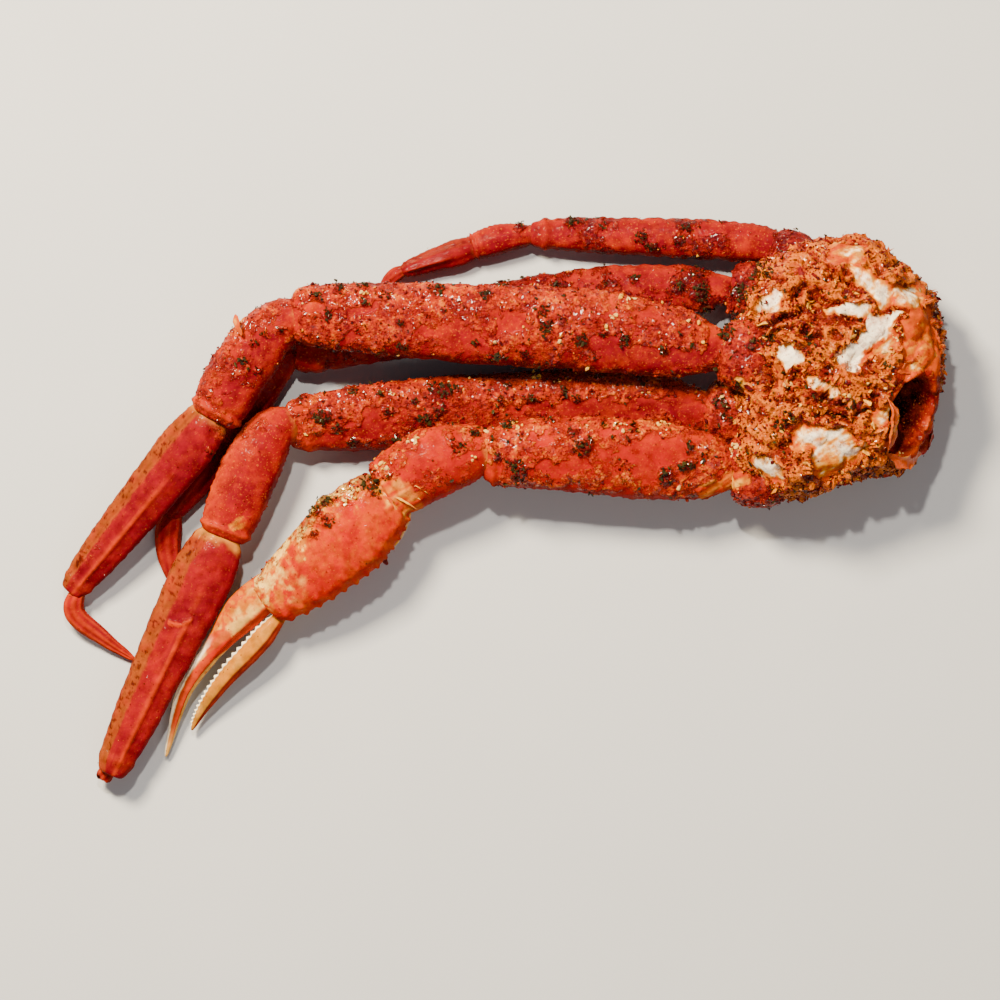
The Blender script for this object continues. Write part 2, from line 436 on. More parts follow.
def stirred(points, reach, size, seed):
    """Points moved up to a reach each way by soft noise, so that drawn outlines turn ragged."""
    moves = [rough_noise(points, size, seed + axis, 3) for axis in range(3)]
    return points + reach * np.stack(moves, axis=-1)


def pebbles(points, size, seed):
    """Rounded bumps from 0 to 1: one pebble sits at random in each cell of space."""
    place = points / size
    cell = np.floor(place)
    nearest = np.full(points.shape[:-1], 9.0)
    for offset in np.ndindex(3, 3, 3):
        near = cell + np.array(offset) - 1
        seat = np.stack([cell_number(near, seed + axis) for axis in range(3)], axis=-1)
        nearest = np.minimum(nearest, np.sum((near + seat - place) ** 2, axis=-1))
    return np.sqrt(np.clip(1 - nearest / 0.5, 0, 1))


def signed_power(value, power):
    """The size of a value to a power, with the value's own sign."""
    return np.sign(value) * np.abs(value) ** power


# ---------------------------------------------------------------- surfaces


def line_through(points, shares):
    """Points and directions at the shares of the smooth (Catmull-Rom) line through the points."""
    points = np.array(points, float)
    points = np.concatenate([2 * points[:1] - points[1:2], points, 2 * points[-1:] - points[-2:-1]])
    spans = len(points) - 3
    place = np.clip(shares, 0, 1) * spans
    span = np.minimum(place.astype(int), spans - 1)
    t = (place - span)[:, None]
    p0, p1, p2, p3 = (points[span + k] for k in range(4))
    linear, square, cube = p2 - p0, 2 * p0 - 5 * p1 + 4 * p2 - p3, 3 * p1 - p0 - 3 * p2 + p3
    place = p1 + (linear * t + square * t**2 + cube * t**3) / 2
    slope = linear + 2 * square * t + 3 * cube * t**2
    return place, slope / np.linalg.norm(slope, axis=1, keepdims=True)


def section_axes(directions, roll_deg):
    """The width axes, level until they are rolled, and the depth axes across the directions."""
    width = np.cross((0, 0, 1), directions)
    width /= np.linalg.norm(width, axis=1, keepdims=True)
    depth = np.cross(directions, width)
    roll = np.radians(roll_deg)
    return width * np.cos(roll) + depth * np.sin(roll), depth * np.cos(roll) - width * np.sin(roll)


def grid_normals(grid):
    """Unit normals of a closed grid, outwards, and the area around each of its points.

    The normal is the cross product of the steps along the grid's two directions.
    """
    along = np.gradient(grid, axis=0)
    around = (np.roll(grid, -1, axis=1) - np.roll(grid, 1, axis=1)) / 2
    normals = np.cross(around, along)
    normals[0], normals[-1] = normals[1].mean(axis=0), normals[-2].mean(axis=0)
    area = np.linalg.norm(normals, axis=2)
    normals = normals / np.maximum(area, 1e-12)[..., None]
    area[[0, -1]] = 0
    outwards = np.sum(normals * (grid - grid.mean(axis=1, keepdims=True)))
    return (normals if outwards > 0 else -normals), area


def in_metres(points):
    """Layout millimetres to metres in the frame, never below the floor."""
    middle = np.array(((CAD_LOW[0] + CAD_HIGH[0]) / 2, (CAD_LOW[1] + CAD_HIGH[1]) / 2, CAD_LOW[2]))
    place = middle + (points - LAYOUT_MIDDLE) * MM
    place[..., 2] = np.maximum(place[..., 2], CAD_LOW[2] + FLOOR_CLEARANCE * MM)
    return place


def add_object(name, data):
    """A new object in the scene, made of the data."""
    item = bpy.data.objects.new(name, data)
    bpy.context.scene.collection.objects.link(item)
    return item


def mesh_object(name, points, corners, sizes, material, attributes):
    """A smooth object from points, the faces' corners and the faces' sizes, with point attributes."""
    mesh = bpy.data.meshes.new(name)
    mesh.vertices.add(len(points))
    mesh.vertices.foreach_set("co", np.asarray(points, np.float32).ravel())
    mesh.loops.add(len(corners))
    mesh.loops.foreach_set("vertex_index", np.asarray(corners, np.int32))
    mesh.polygons.add(len(sizes))
    starts = np.concatenate([[0], np.cumsum(sizes)[:-1]])
    mesh.polygons.foreach_set("loop_start", starts.astype(np.int32))
    mesh.update(calc_edges=True)
    for key, values in attributes.items():
        values = np.asarray(values, np.float32)
        if values.ndim == 2:
            attribute = mesh.attributes.new(key, "FLOAT_COLOR", "POINT")
            opaque = np.c_[values, np.ones(len(values))].astype(np.float32)
            attribute.data.foreach_set("color", opaque.ravel())
        else:
            attribute = mesh.attributes.new(key, "FLOAT", "POINT")
            attribute.data.foreach_set("value", values)
    mesh.shade_smooth()
    mesh.materials.append(material)
    return add_object(name, mesh)


def listed(values):
    """A closed grid's values as one list, with each pole only once."""
    rings = values[1:-1].reshape(-1, *values.shape[2:])
    return np.concatenate([values[:1, 0], rings, values[-1:, 0]])


def closed_faces(points, rows, columns, first_corner=0):
    """The corners and sizes of the faces of a closed grid whose listed points these are.

    Quads join neighbouring rings and triangles close the poles. All are turned round if the
    volume inside them comes out negative. The first corner says at which corner a quad starts,
    and so along which diagonal it is cut into triangles.
    """
    index = 1 + np.arange((rows - 2) * columns).reshape(rows - 2, columns)
    turned = np.roll(index, -1, axis=1)
    quads = np.stack([index[:-1], index[1:], turned[1:], turned[:-1]], axis=-1).reshape(-1, 4)
    first = np.stack([np.zeros_like(index[0]), index[0], turned[0]], axis=-1)
    last = np.stack([np.full_like(index[0], len(points) - 1), turned[-1], index[-1]], axis=-1)
    a, b, c = ((points - points.mean(axis=0))[quads[:, corner]] for corner in range(3))
    if np.sum(a * np.cross(b, c)) < 0:
        quads, first, last = quads[:, ::-1], first[:, ::-1], last[:, ::-1]
    quads = np.roll(quads, first_corner, axis=1)
    corners = np.concatenate([quads.ravel(), first.ravel(), last.ravel()])
    return corners, np.concatenate([np.full(len(quads), 4), np.full(2 * columns, 3)])


def closed_object(name, grid, material, **attributes):
    """A closed object from a grid whose rows are rings and whose first and last rows are poles."""
    points = in_metres(listed(grid))
    corners, sizes = closed_faces(points, *grid.shape[:2])
    attributes = {key: listed(values) for key, values in attributes.items()}
    return mesh_object(name, points, corners, sizes, material, attributes)


def joined_object(name, parts, material):
    """One object from several closed grids, each with its paint."""
    points, corners, sizes, paints, start = [], [], [], [], 0
    for grid, paint in parts:
        points.append(in_metres(listed(grid)))
        part_corners, part_sizes = closed_faces(points[-1], *grid.shape[:2], first_corner=1)
        corners.append(part_corners + start)
        sizes.append(part_sizes)
        paints.append(listed(paint))
        start += len(points[-1])
    points, corners, sizes, paints = map(np.concatenate, (points, corners, sizes, paints))
    return mesh_object(name, points, corners, sizes, material, {"paint": paints})


def stand_for(piece, slot, *nodes):
    """Makes the piece ride on the cluster, name its finish and take the place of CAD nodes."""
    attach(piece, BODY)
    if nodes:
        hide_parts(*nodes)


# ---------------------------------------------------------------- materials


class Shader:
    """A material under construction: adds nodes and joins their sockets."""

    def __init__(self, name):
        self.material = bpy.data.materials.new(name)
        self.material.use_nodes = True
        self.tree = self.material.node_tree
        self.principled = self.tree.nodes["Principled BSDF"]
        self.place = self.add("ShaderNodeTexCoord").outputs["Object"]

    def add(self, kind, inputs=None, **settings):
        """Adds a node, sets its properties, and sets or joins its inputs."""
        node = self.tree.nodes.new(kind)
        for key, value in settings.items():
            setattr(node, key, value)
        for key, value in (inputs or {}).items():
            self.put(node.inputs[key], value)
        return node

    def put(self, socket, value):
        """Joins another node's output to the socket, or sets its value."""
        if isinstance(value, bpy.types.NodeSocket):
            self.tree.links.new(value, socket)
        else:
            socket.default_value = value

    def attribute(self, name, output="Fac"):
        """One of the mesh's point attributes."""
        return self.add("ShaderNodeAttribute", attribute_name=name).outputs[output]

    def noise(self, size_mm, detail=3.0, roughness=0.55):
        """Noise from 0 to 1 with patches of about this size."""
        inputs = {"Vector": self.place, "Scale": 1 / (size_mm * MM)}
        inputs.update({"Detail": detail, "Roughness": roughness})
        return self.add("ShaderNodeTexNoise", inputs).outputs["Fac"]

    def cells(self, size_mm, output="Distance"):
        """Grains of this size: how far off the nearest grain's middle is, or its own colour."""
        inputs = {"Vector": self.place, "Scale": 1 / (size_mm * MM)}
        return self.add("ShaderNodeTexVoronoi", inputs).outputs[output]

    def math(self, operation, a, b):
        """A sum of two values."""
        return self.add("ShaderNodeMath", {0: a, 1: b}, operation=operation).outputs[0]

    def span(self, value, low, high, to_low=0.0, to_high=1.0):
        """The value's way from low to high, as a way from to_low to to_high, held at both ends."""
        inputs = {"Value": value, "From Min": low, "From Max": high}
        inputs.update({"To Min": to_low, "To Max": to_high})
        return self.add("ShaderNodeMapRange", inputs).outputs["Result"]

    def mix(self, share, a, b, blend_type="MIX"):
        """A colour that goes from a to b as the share goes from 0 to 1."""
        node = self.add("ShaderNodeMix", data_type="RGBA", blend_type=blend_type)
        self.put(node.inputs[0], share)
        self.put(node.inputs[6], a if isinstance(a, bpy.types.NodeSocket) else (*a, 1.0))
        self.put(node.inputs[7], b if isinstance(b, bpy.types.NodeSocket) else (*b, 1.0))
        return node.outputs[2]

    def stops(self, share, *colours):
        """A colour ramp through (place, colour) stops."""
        node = self.add("ShaderNodeValToRGB", {"Fac": share})
        elements = node.color_ramp.elements
        for _ in colours[2:]:
            elements.new(0.5)
        for element, (place, colour) in zip(elements, colours):
            element.position = place
            element.color = (*colour, 1.0)
        return node.outputs["Color"]

    def bump(self, height, distance_mm, strength=1.0, normal=None):
        """A normal for relief whose height of 1 stands for this distance, over another normal."""
        inputs = {"Height": height, "Distance": distance_mm * MM, "Strength": strength}
        if normal is not None:
            inputs["Normal"] = normal
        return self.add("ShaderNodeBump", inputs).outputs["Normal"]

    def finish(self, **inputs):
        """Sets or joins the surface's own inputs and returns the material."""
        for key, value in inputs.items():
            self.put(self.principled.inputs[key.replace("_", " ")], value)
        return self.material


# A crust's four colours, from its hollows to its driest grains.
Palette = namedtuple("Palette", "dark mid bright pale")

# Colours mixed into the shell and the torn membrane in fine patches.
PIT_COLOUR = (0.04, 0.003, 0.002)
GLOW_COLOUR = (0.42, 0.026, 0.0006)
SAUCE_COLOUR = (0.17, 0.007, 0.004)
SPECK_COLOUR = (0.50, 0.10, 0.003)
STAIN_COLOUR = (0.45, 0.07, 0.008)
WET_IOR = 1.45


def crust_colour(shader, palette):
    """Seasoning: soft patches of paste, brighter on its crests, with each grain a tone of its own."""
    paste = shader.math("ADD", shader.noise(2.6, 5.0, 0.68), shader.noise(8.0, 3.0, 0.6))
    cell = shader.cells(0.65, "Color")
    grain = shader.add("ShaderNodeSeparateColor", {"Color": cell}).outputs[0]
    tone = shader.math("MULTIPLY", paste, 0.36)
    tone = shader.math("ADD", tone, shader.math("MULTIPLY", grain, 0.18))
    tone = shader.math("ADD", tone, shader.math("MULTIPLY", shader.attribute("lift"), 0.24))
    colour = shader.stops(
        tone,
        (0.41, palette.dark), (0.53, palette.mid), (0.68, palette.bright), (0.84, palette.pale))
    dark = shader.span(shader.noise(0.55, 2.0, 0.7), 0.60, 0.68, 0.0, 0.75)
    colour = shader.mix(dark, colour, palette.dark)
    pale = shader.span(shader.noise(0.42, 2.0, 0.7), 0.33, 0.28, 0.0, 0.3)
    return shader.mix(pale, colour, palette.pale)


def toned(shader, colour, size, low, high):
    """A colour made darker and lighter, from low to high, in soft patches of a size."""
    tone = shader.span(shader.noise(size, 4.0), 0.3, 0.7, low, high)
    grey = shader.add("ShaderNodeCombineColor", {"Red": tone, "Green": tone, "Blue": tone})
    return shader.mix(1.0, colour, grey.outputs["Color"], "MULTIPLY")


def seasoned_material(name, palette, gloss, depth, flesh, flush=0.5):
    """Shell or membrane in its painted colour, under a crust where the crust attribute is high.

    The bare shell has dark pits and, by its flush, an orange glow, dark sauce and pale specks.
    The crust's edge is frayed by noise in two sizes, so that it breaks up into grains, and the
    lift attribute says how high in the crust a point is. A wet coat lies in patches on the crust,
    beaded so that it glints. Gloss is the bare shell's roughness and depth the bump's height in
    mm. Flesh is how much light passes into it.
    """
    shader = Shader(name)
    paint = shader.attribute("paint", "Color")
    crust = shader.attribute("crust")
    shell = toned(shader, paint, 2.8, 0.62, 1.20)
    pits = shader.span(shader.cells(2.1), 0.06, 0.12, 0.75, 0.0)
    shell = shader.mix(pits, shell, PIT_COLOUR)
    glow = shader.span(shader.noise(4.5, 6.0, 0.72), 0.48, 0.66, 0.0, flush)
    shell = shader.mix(glow, shell, GLOW_COLOUR)
    most_sauce = 1.4 * max(flush - 0.16, 0.0)
    sauce = shader.span(shader.noise(1.7, 5.0, 0.72), 0.50, 0.62, 0.0, most_sauce)
    shell = shader.mix(sauce, shell, SAUCE_COLOUR)
    specks = shader.span(shader.noise(0.6, 2.0, 0.7), 0.61, 0.69, 0.0, 1.2 * flush)
    shell = shader.mix(specks, shell, SPECK_COLOUR)
    fray = shader.math("ADD", shader.noise(0.7, 3.0, 0.7), shader.noise(2.2, 2.0))
    fray = shader.math("SUBTRACT", fray, 1.0)
    fray = shader.math("MULTIPLY", fray, shader.span(crust, 0.0, 0.3, 0.0, 2.4))
    mask = shader.span(shader.math("ADD", crust, fray), 0.28, 0.72, 0.0, 0.86)
    colour = shader.mix(mask, shell, crust_colour(shader, palette))
    wet = shader.span(shader.noise(1.1, 2.0), 0.40, 0.60, 0.34, 0.14)
    dry = shader.span(shader.noise(1.6, 3.0), 0.35, 0.65, gloss + 0.1, gloss - 0.1)
    wetting = shader.math("MULTIPLY", mask, shader.math("SUBTRACT", wet, dry))
    roughness = shader.math("ADD", dry, wetting)
    grains = shader.math("MULTIPLY", shader.cells(0.55), mask)
    normal = shader.bump(grains, depth * 1.4, 0.9)
    lumps = shader.math("MULTIPLY", shader.noise(1.3, 3.0, 0.65), mask)
    normal = shader.bump(lumps, depth * 2.8, 1.0, normal)
    normal = shader.bump(shader.noise(0.42, 3.0, 0.7), 0.07, 0.8, normal)
    puddles = shader.span(shader.noise(3.2, 3.0, 0.6), 0.44, 0.62, 0.1, 1.0)
    film = shader.math("MULTIPLY", puddles, mask)
    beads = shader.bump(shader.math("MULTIPLY", shader.cells(1.5), mask), 0.45, 1.0)
    beads = shader.bump(shader.noise(2.6, 2.0), 0.5, 1.0, beads)
    return shader.finish(
        Base_Color=colour,
        Roughness=roughness,
        Normal=normal,
        Coat_Weight=shader.span(film, 0.0, 1.0, 0.03, 0.65),
        Coat_Roughness=0.08,
        Coat_Normal=beads,
        Specular_IOR_Level=0.01,
        Subsurface_Weight=flesh,
        Subsurface_Radius=(0.0022, 0.0004, 0.0002),
        Subsurface_Scale=1.0,
        IOR=WET_IOR,
    )


def loose_material(name, roughness, wetness, depth):
    """What lies loose on the crab, each bit in its own painted colour."""
    shader = Shader(name)
    colour = toned(shader, shader.attribute("paint", "Color"), 0.5, 0.55, 1.25)
    return shader.finish(
        Base_Color=colour,
        Roughness=shader.span(shader.noise(0.7, 2.0), 0.35, 0.65, roughness + 0.12, roughness - 0.1),
        Normal=shader.bump(shader.noise(0.25, 2.0), depth, 0.8),
        Coat_Weight=wetness,
        Coat_Roughness=0.05,
        Specular_IOR_Level=0.02,
        IOR=WET_IOR,
    )


def membrane_material():
    """Thin wet membrane: its painted colour, fine wrinkles and light that passes into it."""
    shader = Shader("torn_membrane")
    paint = shader.attribute("paint", "Color")
    stain = shader.span(shader.noise(1.8, 4.0), 0.45, 0.75, 0.0, 0.5)
    colour = shader.mix(stain, paint, STAIN_COLOUR)
    normal = shader.bump(shader.noise(0.9, 4.0, 0.65), 0.25, 0.8)
    return shader.finish(
        Base_Color=colour,
        Roughness=shader.span(shader.noise(1.2, 2.0), 0.35, 0.65, 0.5, 0.25),
        Normal=normal,
        Coat_Weight=0.3,
        Coat_Roughness=0.12,
        Specular_IOR_Level=0.1,
        Subsurface_Weight=0.2,
        Subsurface_Radius=(0.002, 0.001, 0.0005),
        Subsurface_Scale=1.0,
        IOR=WET_IOR,
    )


# ---------------------------------------------------------------- places seen from above


def round_spots(points, table):
    """The strongest spot at each point: 1 in the middle of a turned ellipse, 0 from its edge on."""
    table = np.array(table, float)
    turn = np.radians(table[:, 4]) if table.shape[1] > 4 else np.zeros(len(table))
    strongest = np.zeros(points.shape[:-1])
    for (x, y, long, wide), angle in zip(table[:, :4], turn):
        east, north = points[..., 0] - x, points[..., 1] - y
        along = (east * np.cos(angle) + north * np.sin(angle)) / long
        across = (north * np.cos(angle) - east * np.sin(angle)) / wide
        strongest = np.maximum(strongest, 1 - along**2 - across**2)
    return strongest


def inside_outline(points, outline):
    """How far in mm each point lies inside an outline seen from above (negative outside it)."""
    start = np.array(outline, float)
    edge = np.roll(start, -1, axis=0) - start
    flat = points[..., None, :2] - start
    share = np.clip(np.sum(flat * edge, axis=-1) / np.sum(edge**2, axis=-1), 0, 1)
    apart = np.linalg.norm(flat - share[..., None] * edge, axis=-1).min(axis=-1)
    north = points[..., 1:2]
    crosses = (start[:, 1] > north) != (start[:, 1] + edge[:, 1] > north)
    slope = edge[:, 0] / np.where(edge[:, 1] == 0, 1e-9, edge[:, 1])
    west = points[..., 0:1] < start[:, 0] + (north - start[:, 1]) * slope
    odd = np.sum(crosses & west, axis=-1) % 2 == 1
    return np.where(odd, apart, -apart)


def near_line(points, line):
    """How far in mm each point lies from a line of several stretches seen from above."""
    line = np.array(line, float)
    edge = line[1:] - line[:-1]
    flat = points[..., None, :2] - line[:-1]
    share = np.clip(np.sum(flat * edge, axis=-1) / np.sum(edge**2, axis=-1), 0, 1)
    return np.linalg.norm(flat - share[..., None] * edge, axis=-1).min(axis=-1)


# ---------------------------------------------------------------- segments

# A segment's rings: grid points, each ring's share of the length and each column's angle, the
# middle of each ring and its width and depth axes.
Rings = namedtuple("Rings", "grid share around middle width_axis depth_axis")


def even_steps(points, count):
    """Places that cut the line through the points into equal lengths, and its whole length.

    The places are shares of the list of points.
    """
    lengths = np.concatenate([[0], np.cumsum(np.linalg.norm(np.diff(points, axis=0), axis=1))])
    wanted = np.linspace(0, lengths[-1], count)
    return np.interp(wanted, lengths, np.linspace(0, 1, len(points))), lengths[-1]


def section_shape(angles):
    """Both coordinates of the superellipse |x|^2.35 + |y|^2.35 = 1 at the angles."""
    return tuple(signed_power(turn(angles), 2 / SQUARENESS) for turn in (np.cos, np.sin))


def segment_rings(segment, kind, spacing):
    """A ball drawn out along the segment's line.

    At a share s of the line the section is the superellipse |x|^2.35 + |y|^2.35 = 1, times the
    profile's half width and half depth there, times (1 - h^2)^(roundness / 2), where h = 2 s - 1.
    Rings and columns are spread so that they lie about one spacing apart.
    """
    stations, roundness = PROFILES[kind]
    shares, widths, depths = zip(*stations)
    latitude = np.linspace(-np.pi / 2, np.pi / 2, 4001)
    share = (1 + np.sin(latitude)) / 2
    closing = np.cos(latitude).clip(0) ** np.interp(share, (0, 1), roundness)
    line, _ = line_through(segment.points, share)
    reach = segment.half_width * np.interp(share, shares, widths) * closing
    side = np.concatenate([np.cumsum(np.linalg.norm(np.diff(line, axis=0, prepend=line[:1]), axis=1))])
    outline = np.stack([side, reach], axis=1)
    _, length = even_steps(outline, 2)
    rows, _ = even_steps(outline, max(int(length / spacing), 12))
    latitude = -np.pi / 2 + rows * np.pi
    share = (1 + np.sin(latitude)) / 2
    closing = np.cos(latitude).clip(0) ** np.interp(share, (0, 1), roundness)
    closing[[0, -1]] = 0

    dense = np.linspace(0, 2 * np.pi, 721)
    x, y = section_shape(dense)
    section = np.stack([x * segment.half_width, y * segment.half_depth], axis=1)
    _, girth = even_steps(section, 2)
    places, _ = even_steps(section, max(int(girth / spacing), 16) + 1)
    around = places[:-1] * 2 * np.pi

    middle, direction = line_through(segment.points, share)
    width_axis, depth_axis = section_axes(direction, segment.roll_deg)
    half_width = segment.half_width * np.interp(share, shares, widths) * closing
    half_depth = segment.half_depth * np.interp(share, shares, depths) * closing
    x, y = section_shape(around)
    grid = (
        middle[:, None]
        + width_axis[:, None] * (half_width[:, None] * x)[..., None]
        + depth_axis[:, None] * (half_depth[:, None] * y)[..., None]
    )
    return Rings(grid, share[:, None], around[None, :], middle, width_axis, depth_axis)


def hump(value, place, width):
    """A bell: 1 at the place, falling away on both sides as e^-(distance / width)^2."""
    return np.exp(-(((value - place) / width) ** 2))


def ridge(around, angle, width):
    """A bell along the segment at an angle round its section."""
    apart = (around - angle + np.pi) % (2 * np.pi) - np.pi
    return np.exp(-((apart / width) ** 2))


def shell_chip(grid):
    """How deep in the chip each point lies, and how high on the lip along its near side (0 to 1)."""
    east, north, long, wide, turn = SHELL_CHIP
    moved = stirred(grid, 0.7, 1.8, 361)
    lip = ramp_up(0.05, 0.30, round_spots(moved, [(east, north, long, wide, turn)]))
    mark = ramp_up(0.05, 0.45, round_spots(moved, [(east + 0.4, north + 1.1, long, wide, turn)]))
    return mark, lip * (1 - mark)


def shell_relief(kind, share, around, grid):
    """How far the bare shell stands off its loft, in mm: lips, keels, flutes, pimples and teeth."""
    lip = 0.50 * hump(share, LIP, 0.013) - 0.30 * hump(share, LIP_GROOVE, 0.016)
    body = ramp_up(0.05, 0.16, share) * ramp_up(1.0, 0.9, share)
    uneven = 0.20 * rough_noise(grid, 9.0, 31, 3) + 0.09 * rough_noise(grid, 2.0, 37, 3)
    keels = ridge(around, NEAR_KEEL, 0.16) + ridge(around, FAR_KEEL, 0.16)
    spikes = 0.55 + 0.45 * np.cos(share * 130) * np.cos(share * 47 + 1)
    if kind == "merus":
        return lip + uneven + body * keels * spikes * 0.5
    if kind == "carpus":
        return lip + uneven + body * (keels * spikes * 0.4 + 0.35 * ridge(around, TOP, 0.3))
    if kind == "propodus":
        crest = 0.5 * ridge(around, CREST, 0.13) * ramp_up(0.35, 0.6, share)
        step = 0.35 * ramp_up(0.12, -0.12, np.abs(around - np.pi * 0.80) - 0.30)
        flats = 0.28 * np.cos(4 * around) + crest + step - 0.25 * ridge(around, np.pi * 0.68, 0.09)
        hollow, rim = shell_chip(grid)
        edges = flats + keels * spikes * 0.22
        return 0.6 * lip + uneven + body * edges + 0.40 * rim - 0.22 * hollow
    if kind == "dactyl":
        return 0.5 * uneven + body * 0.16 * np.cos(8 * around)
    if kind == "palm":
        edge = ridge(around, 0.15, 0.17) * np.clip(np.sin(share * 95), 0, 1) * 0.8
        second = ridge(around, 0.75, 0.14) * np.clip(np.sin(share * 80 + 1), 0, 1) * 0.45
        return lip * 0.6 + uneven * 1.6 + body * (edge + second)
    if kind == "fixed_finger":
        groove = -0.45 * ridge(around, 0.62, 0.22) * ramp_up(0.08, 0.25, share)
        return 0.6 * uneven + groove * ramp_up(1.0, 0.8, share)
    if kind == "finger":
        saw = np.abs((share * 26) % 1 - 0.5) * 2
        teeth = ridge(around, TOOTH_ROW, 0.30) * saw * ramp_up(0.05, 0.12, share)
        groove = -0.30 * ridge(around, 0.85, 0.28)
        return 0.4 * uneven + body * (0.85 * teeth + groove)
    return uneven


def crust_cover(cover, share, around, grid, normals):
    """How much crust lies at each point (0 to 1).

    Noise is pushed up by the segment's own cover, by clumps of herbs and towards one side, and
    down in the bare patches, whose outlines it frays, and in the socket the segment grows from.
    """
    top = ramp_up(-0.25, 0.25, normals[..., 2])
    moved = stirred(grid, 2.2, 3.6, 301)
    patchy = 0.75 * rough_noise(grid, 8.5, 3, 4) + 0.45 * rough_noise(grid, 2.4, 9, 3)
    level = patchy + (cover.crust - 0.5) * 2.1 - cover.lean * np.cos(around) * 0.9
    level = level - 1.5 * top * ramp_up(0.0, 0.7, round_spots(moved, BARE_SHELL))
    level = level + 1.3 * top * ramp_up(0.0, 0.6, round_spots(moved, HERB_CLUMPS))
    level = level - 3.0 * ramp_up(0.09, 0.03, share) * min(2.5 * cover.membrane, 1)
    return ramp_up(-0.55, 0.85, level)


def crust_height(grid):
    """The crust's height: paste, sharp crests in two sizes and small pebbles."""
    paste = 0.30 + 0.45 * rough_noise(grid, 4.2, 51, 3)
    crests = 0.75 * creased(grid, 2.6, 61) ** 2 + 0.40 * creased(grid, 1.5, 65)
    return np.clip(paste + crests + 0.40 * pebbles(grid, 1.2, 67), 0.0, None)


def shell_paint(looks, kind, cover, share, around, grid, normals):
    """The bare shell's colour at each point.

    Red, deeper in soft patches and on the side by the claw, more orange along the far keel and at
    the lip, paler below, and turning to membrane at the segment's root. A propodus has a matte
    brown band with dark pin marks along its far side, an orange crest, deeper streaks along it
    and a chip. A dactyl is fluted in orange. The palm and the fingers have paints of their own.
    """
    patches = ramp_up(-0.5, 0.7, rough_noise(grid, 11.0, 5, 3))[..., None]
    paint = np.array(looks.shell) * (1 - patches) + np.array(looks.shell_deep) * patches
    broken = rough_noise(grid, 3.0, 15, 3)
    paint = layer(paint, looks.shell_deep, 0.75 * ridge(around, NEAR_KEEL, 0.6) * (0.8 + 0.5 * broken))
    orange = 0.9 * ridge(around, FAR_KEEL * 0.92, 0.65) + 0.5 * hump(share, LIP, 0.02)
    paint = layer(paint, looks.shell_orange, orange * (0.75 + 0.6 * broken))
    if kind == "propodus":
        paint = layer(paint, looks.shell_deep, 0.55 * ramp_up(-0.6, 0.3, broken))
        band = ramp_up(0.70, 0.58, np.abs(around - 2.6) + 0.10 * broken)
        paint = layer(paint, looks.shell_band, band * (0.85 + 0.4 * broken))
        crest = ridge(around, CREST, 0.12) * ramp_up(0.35, 0.6, share + 0.1 * broken)
        paint = layer(paint, looks.shell_orange, 0.6 * crest)
        streaks = ramp_up(0.1, 0.8, rough_noise(np.stack(np.broadcast_arrays(
            around * 9, share * 3, 0 * share), axis=-1), 1.0, 19, 3))
        paint = layer(paint, looks.shell_deep, 0.7 * streaks * (1 - band))
        hollow, rim = shell_chip(grid)
        paint = layer(paint, looks.shell_orange, 0.9 * rim * ramp_up(-0.2, 0.2, normals[..., 2]))
        paint = layer(paint, looks.shell_deep, 0.8 * hollow * ramp_up(-0.2, 0.2, normals[..., 2]))
        pins = ramp_up(0.42, 0.60, rough_noise(grid, 0.9, 27, 2))
        paint = layer(paint, looks.crust_dark, 0.8 * pins * band)
    if kind == "dactyl":
        paint = layer(paint, looks.shell_orange, 0.55 * (0.5 + 0.5 * np.cos(8 * around)))
    paint = layer(paint, looks.shell_under, 0.5 * ramp_up(-0.35, -0.9, normals[..., 2]))
    frayed = share + 0.045 * rough_noise(grid, 3.0, 25, 3)
    paint = layer(paint, looks.membrane, cover.membrane * ramp_up(0.19, 0.10, frayed) * 0.85)
    if kind == "palm":
        return palm_paint(looks, paint, share, around, grid)
    if kind in ("fixed_finger", "finger"):
        return finger_paint(looks, kind, paint, share, around, grid)
    return paint


def palm_paint(looks, paint, share, around, grid):
    """The palm: bright red mottled with orange, blotched yellow and cream towards its far side.

    The blotches follow a bell round the section plus rough noise, and so do those at its end.
    """
    mottle = rough_noise(grid, 3.0, 33, 4)
    fine = rough_noise(grid, 1.3, 35, 3)
    flush = ramp_up(-0.35, 0.35, rough_noise(grid, 4.5, 39, 4))
    paint = layer(paint, looks.claw_red, 0.8 + 0 * flush)
    paint = layer(paint, looks.shell_orange, 0.8 * flush)
    paint = layer(paint, looks.claw_yellow, 0.15 * ramp_up(0.05, 0.45, fine) * flush)
    lit = ridge(around, FAR_KEEL * 0.93, 0.80) * ramp_up(0.02, 0.12, share) + 0.42 * mottle
    paint = layer(paint, looks.shell_orange, ramp_up(0.10, 0.45, lit) * 0.85)
    paint = layer(paint, looks.claw_yellow, ramp_up(0.30, 0.62, lit + 0.25 * fine) * 0.8)
    paint = layer(paint, looks.claw_cream, ramp_up(0.62, 0.80, lit + 0.35 * fine))
    end = ramp_up(0.74, 0.92, share + 0.05 * mottle) * ramp_up(0.9, 1.8, around + 0 * share)
    paint = layer(paint, looks.claw_yellow, end * ramp_up(-0.4, 0.1, fine) * 0.8)
    return layer(paint, looks.claw_cream, end * ramp_up(-0.1, 0.35, mottle + 0.3 * fine))


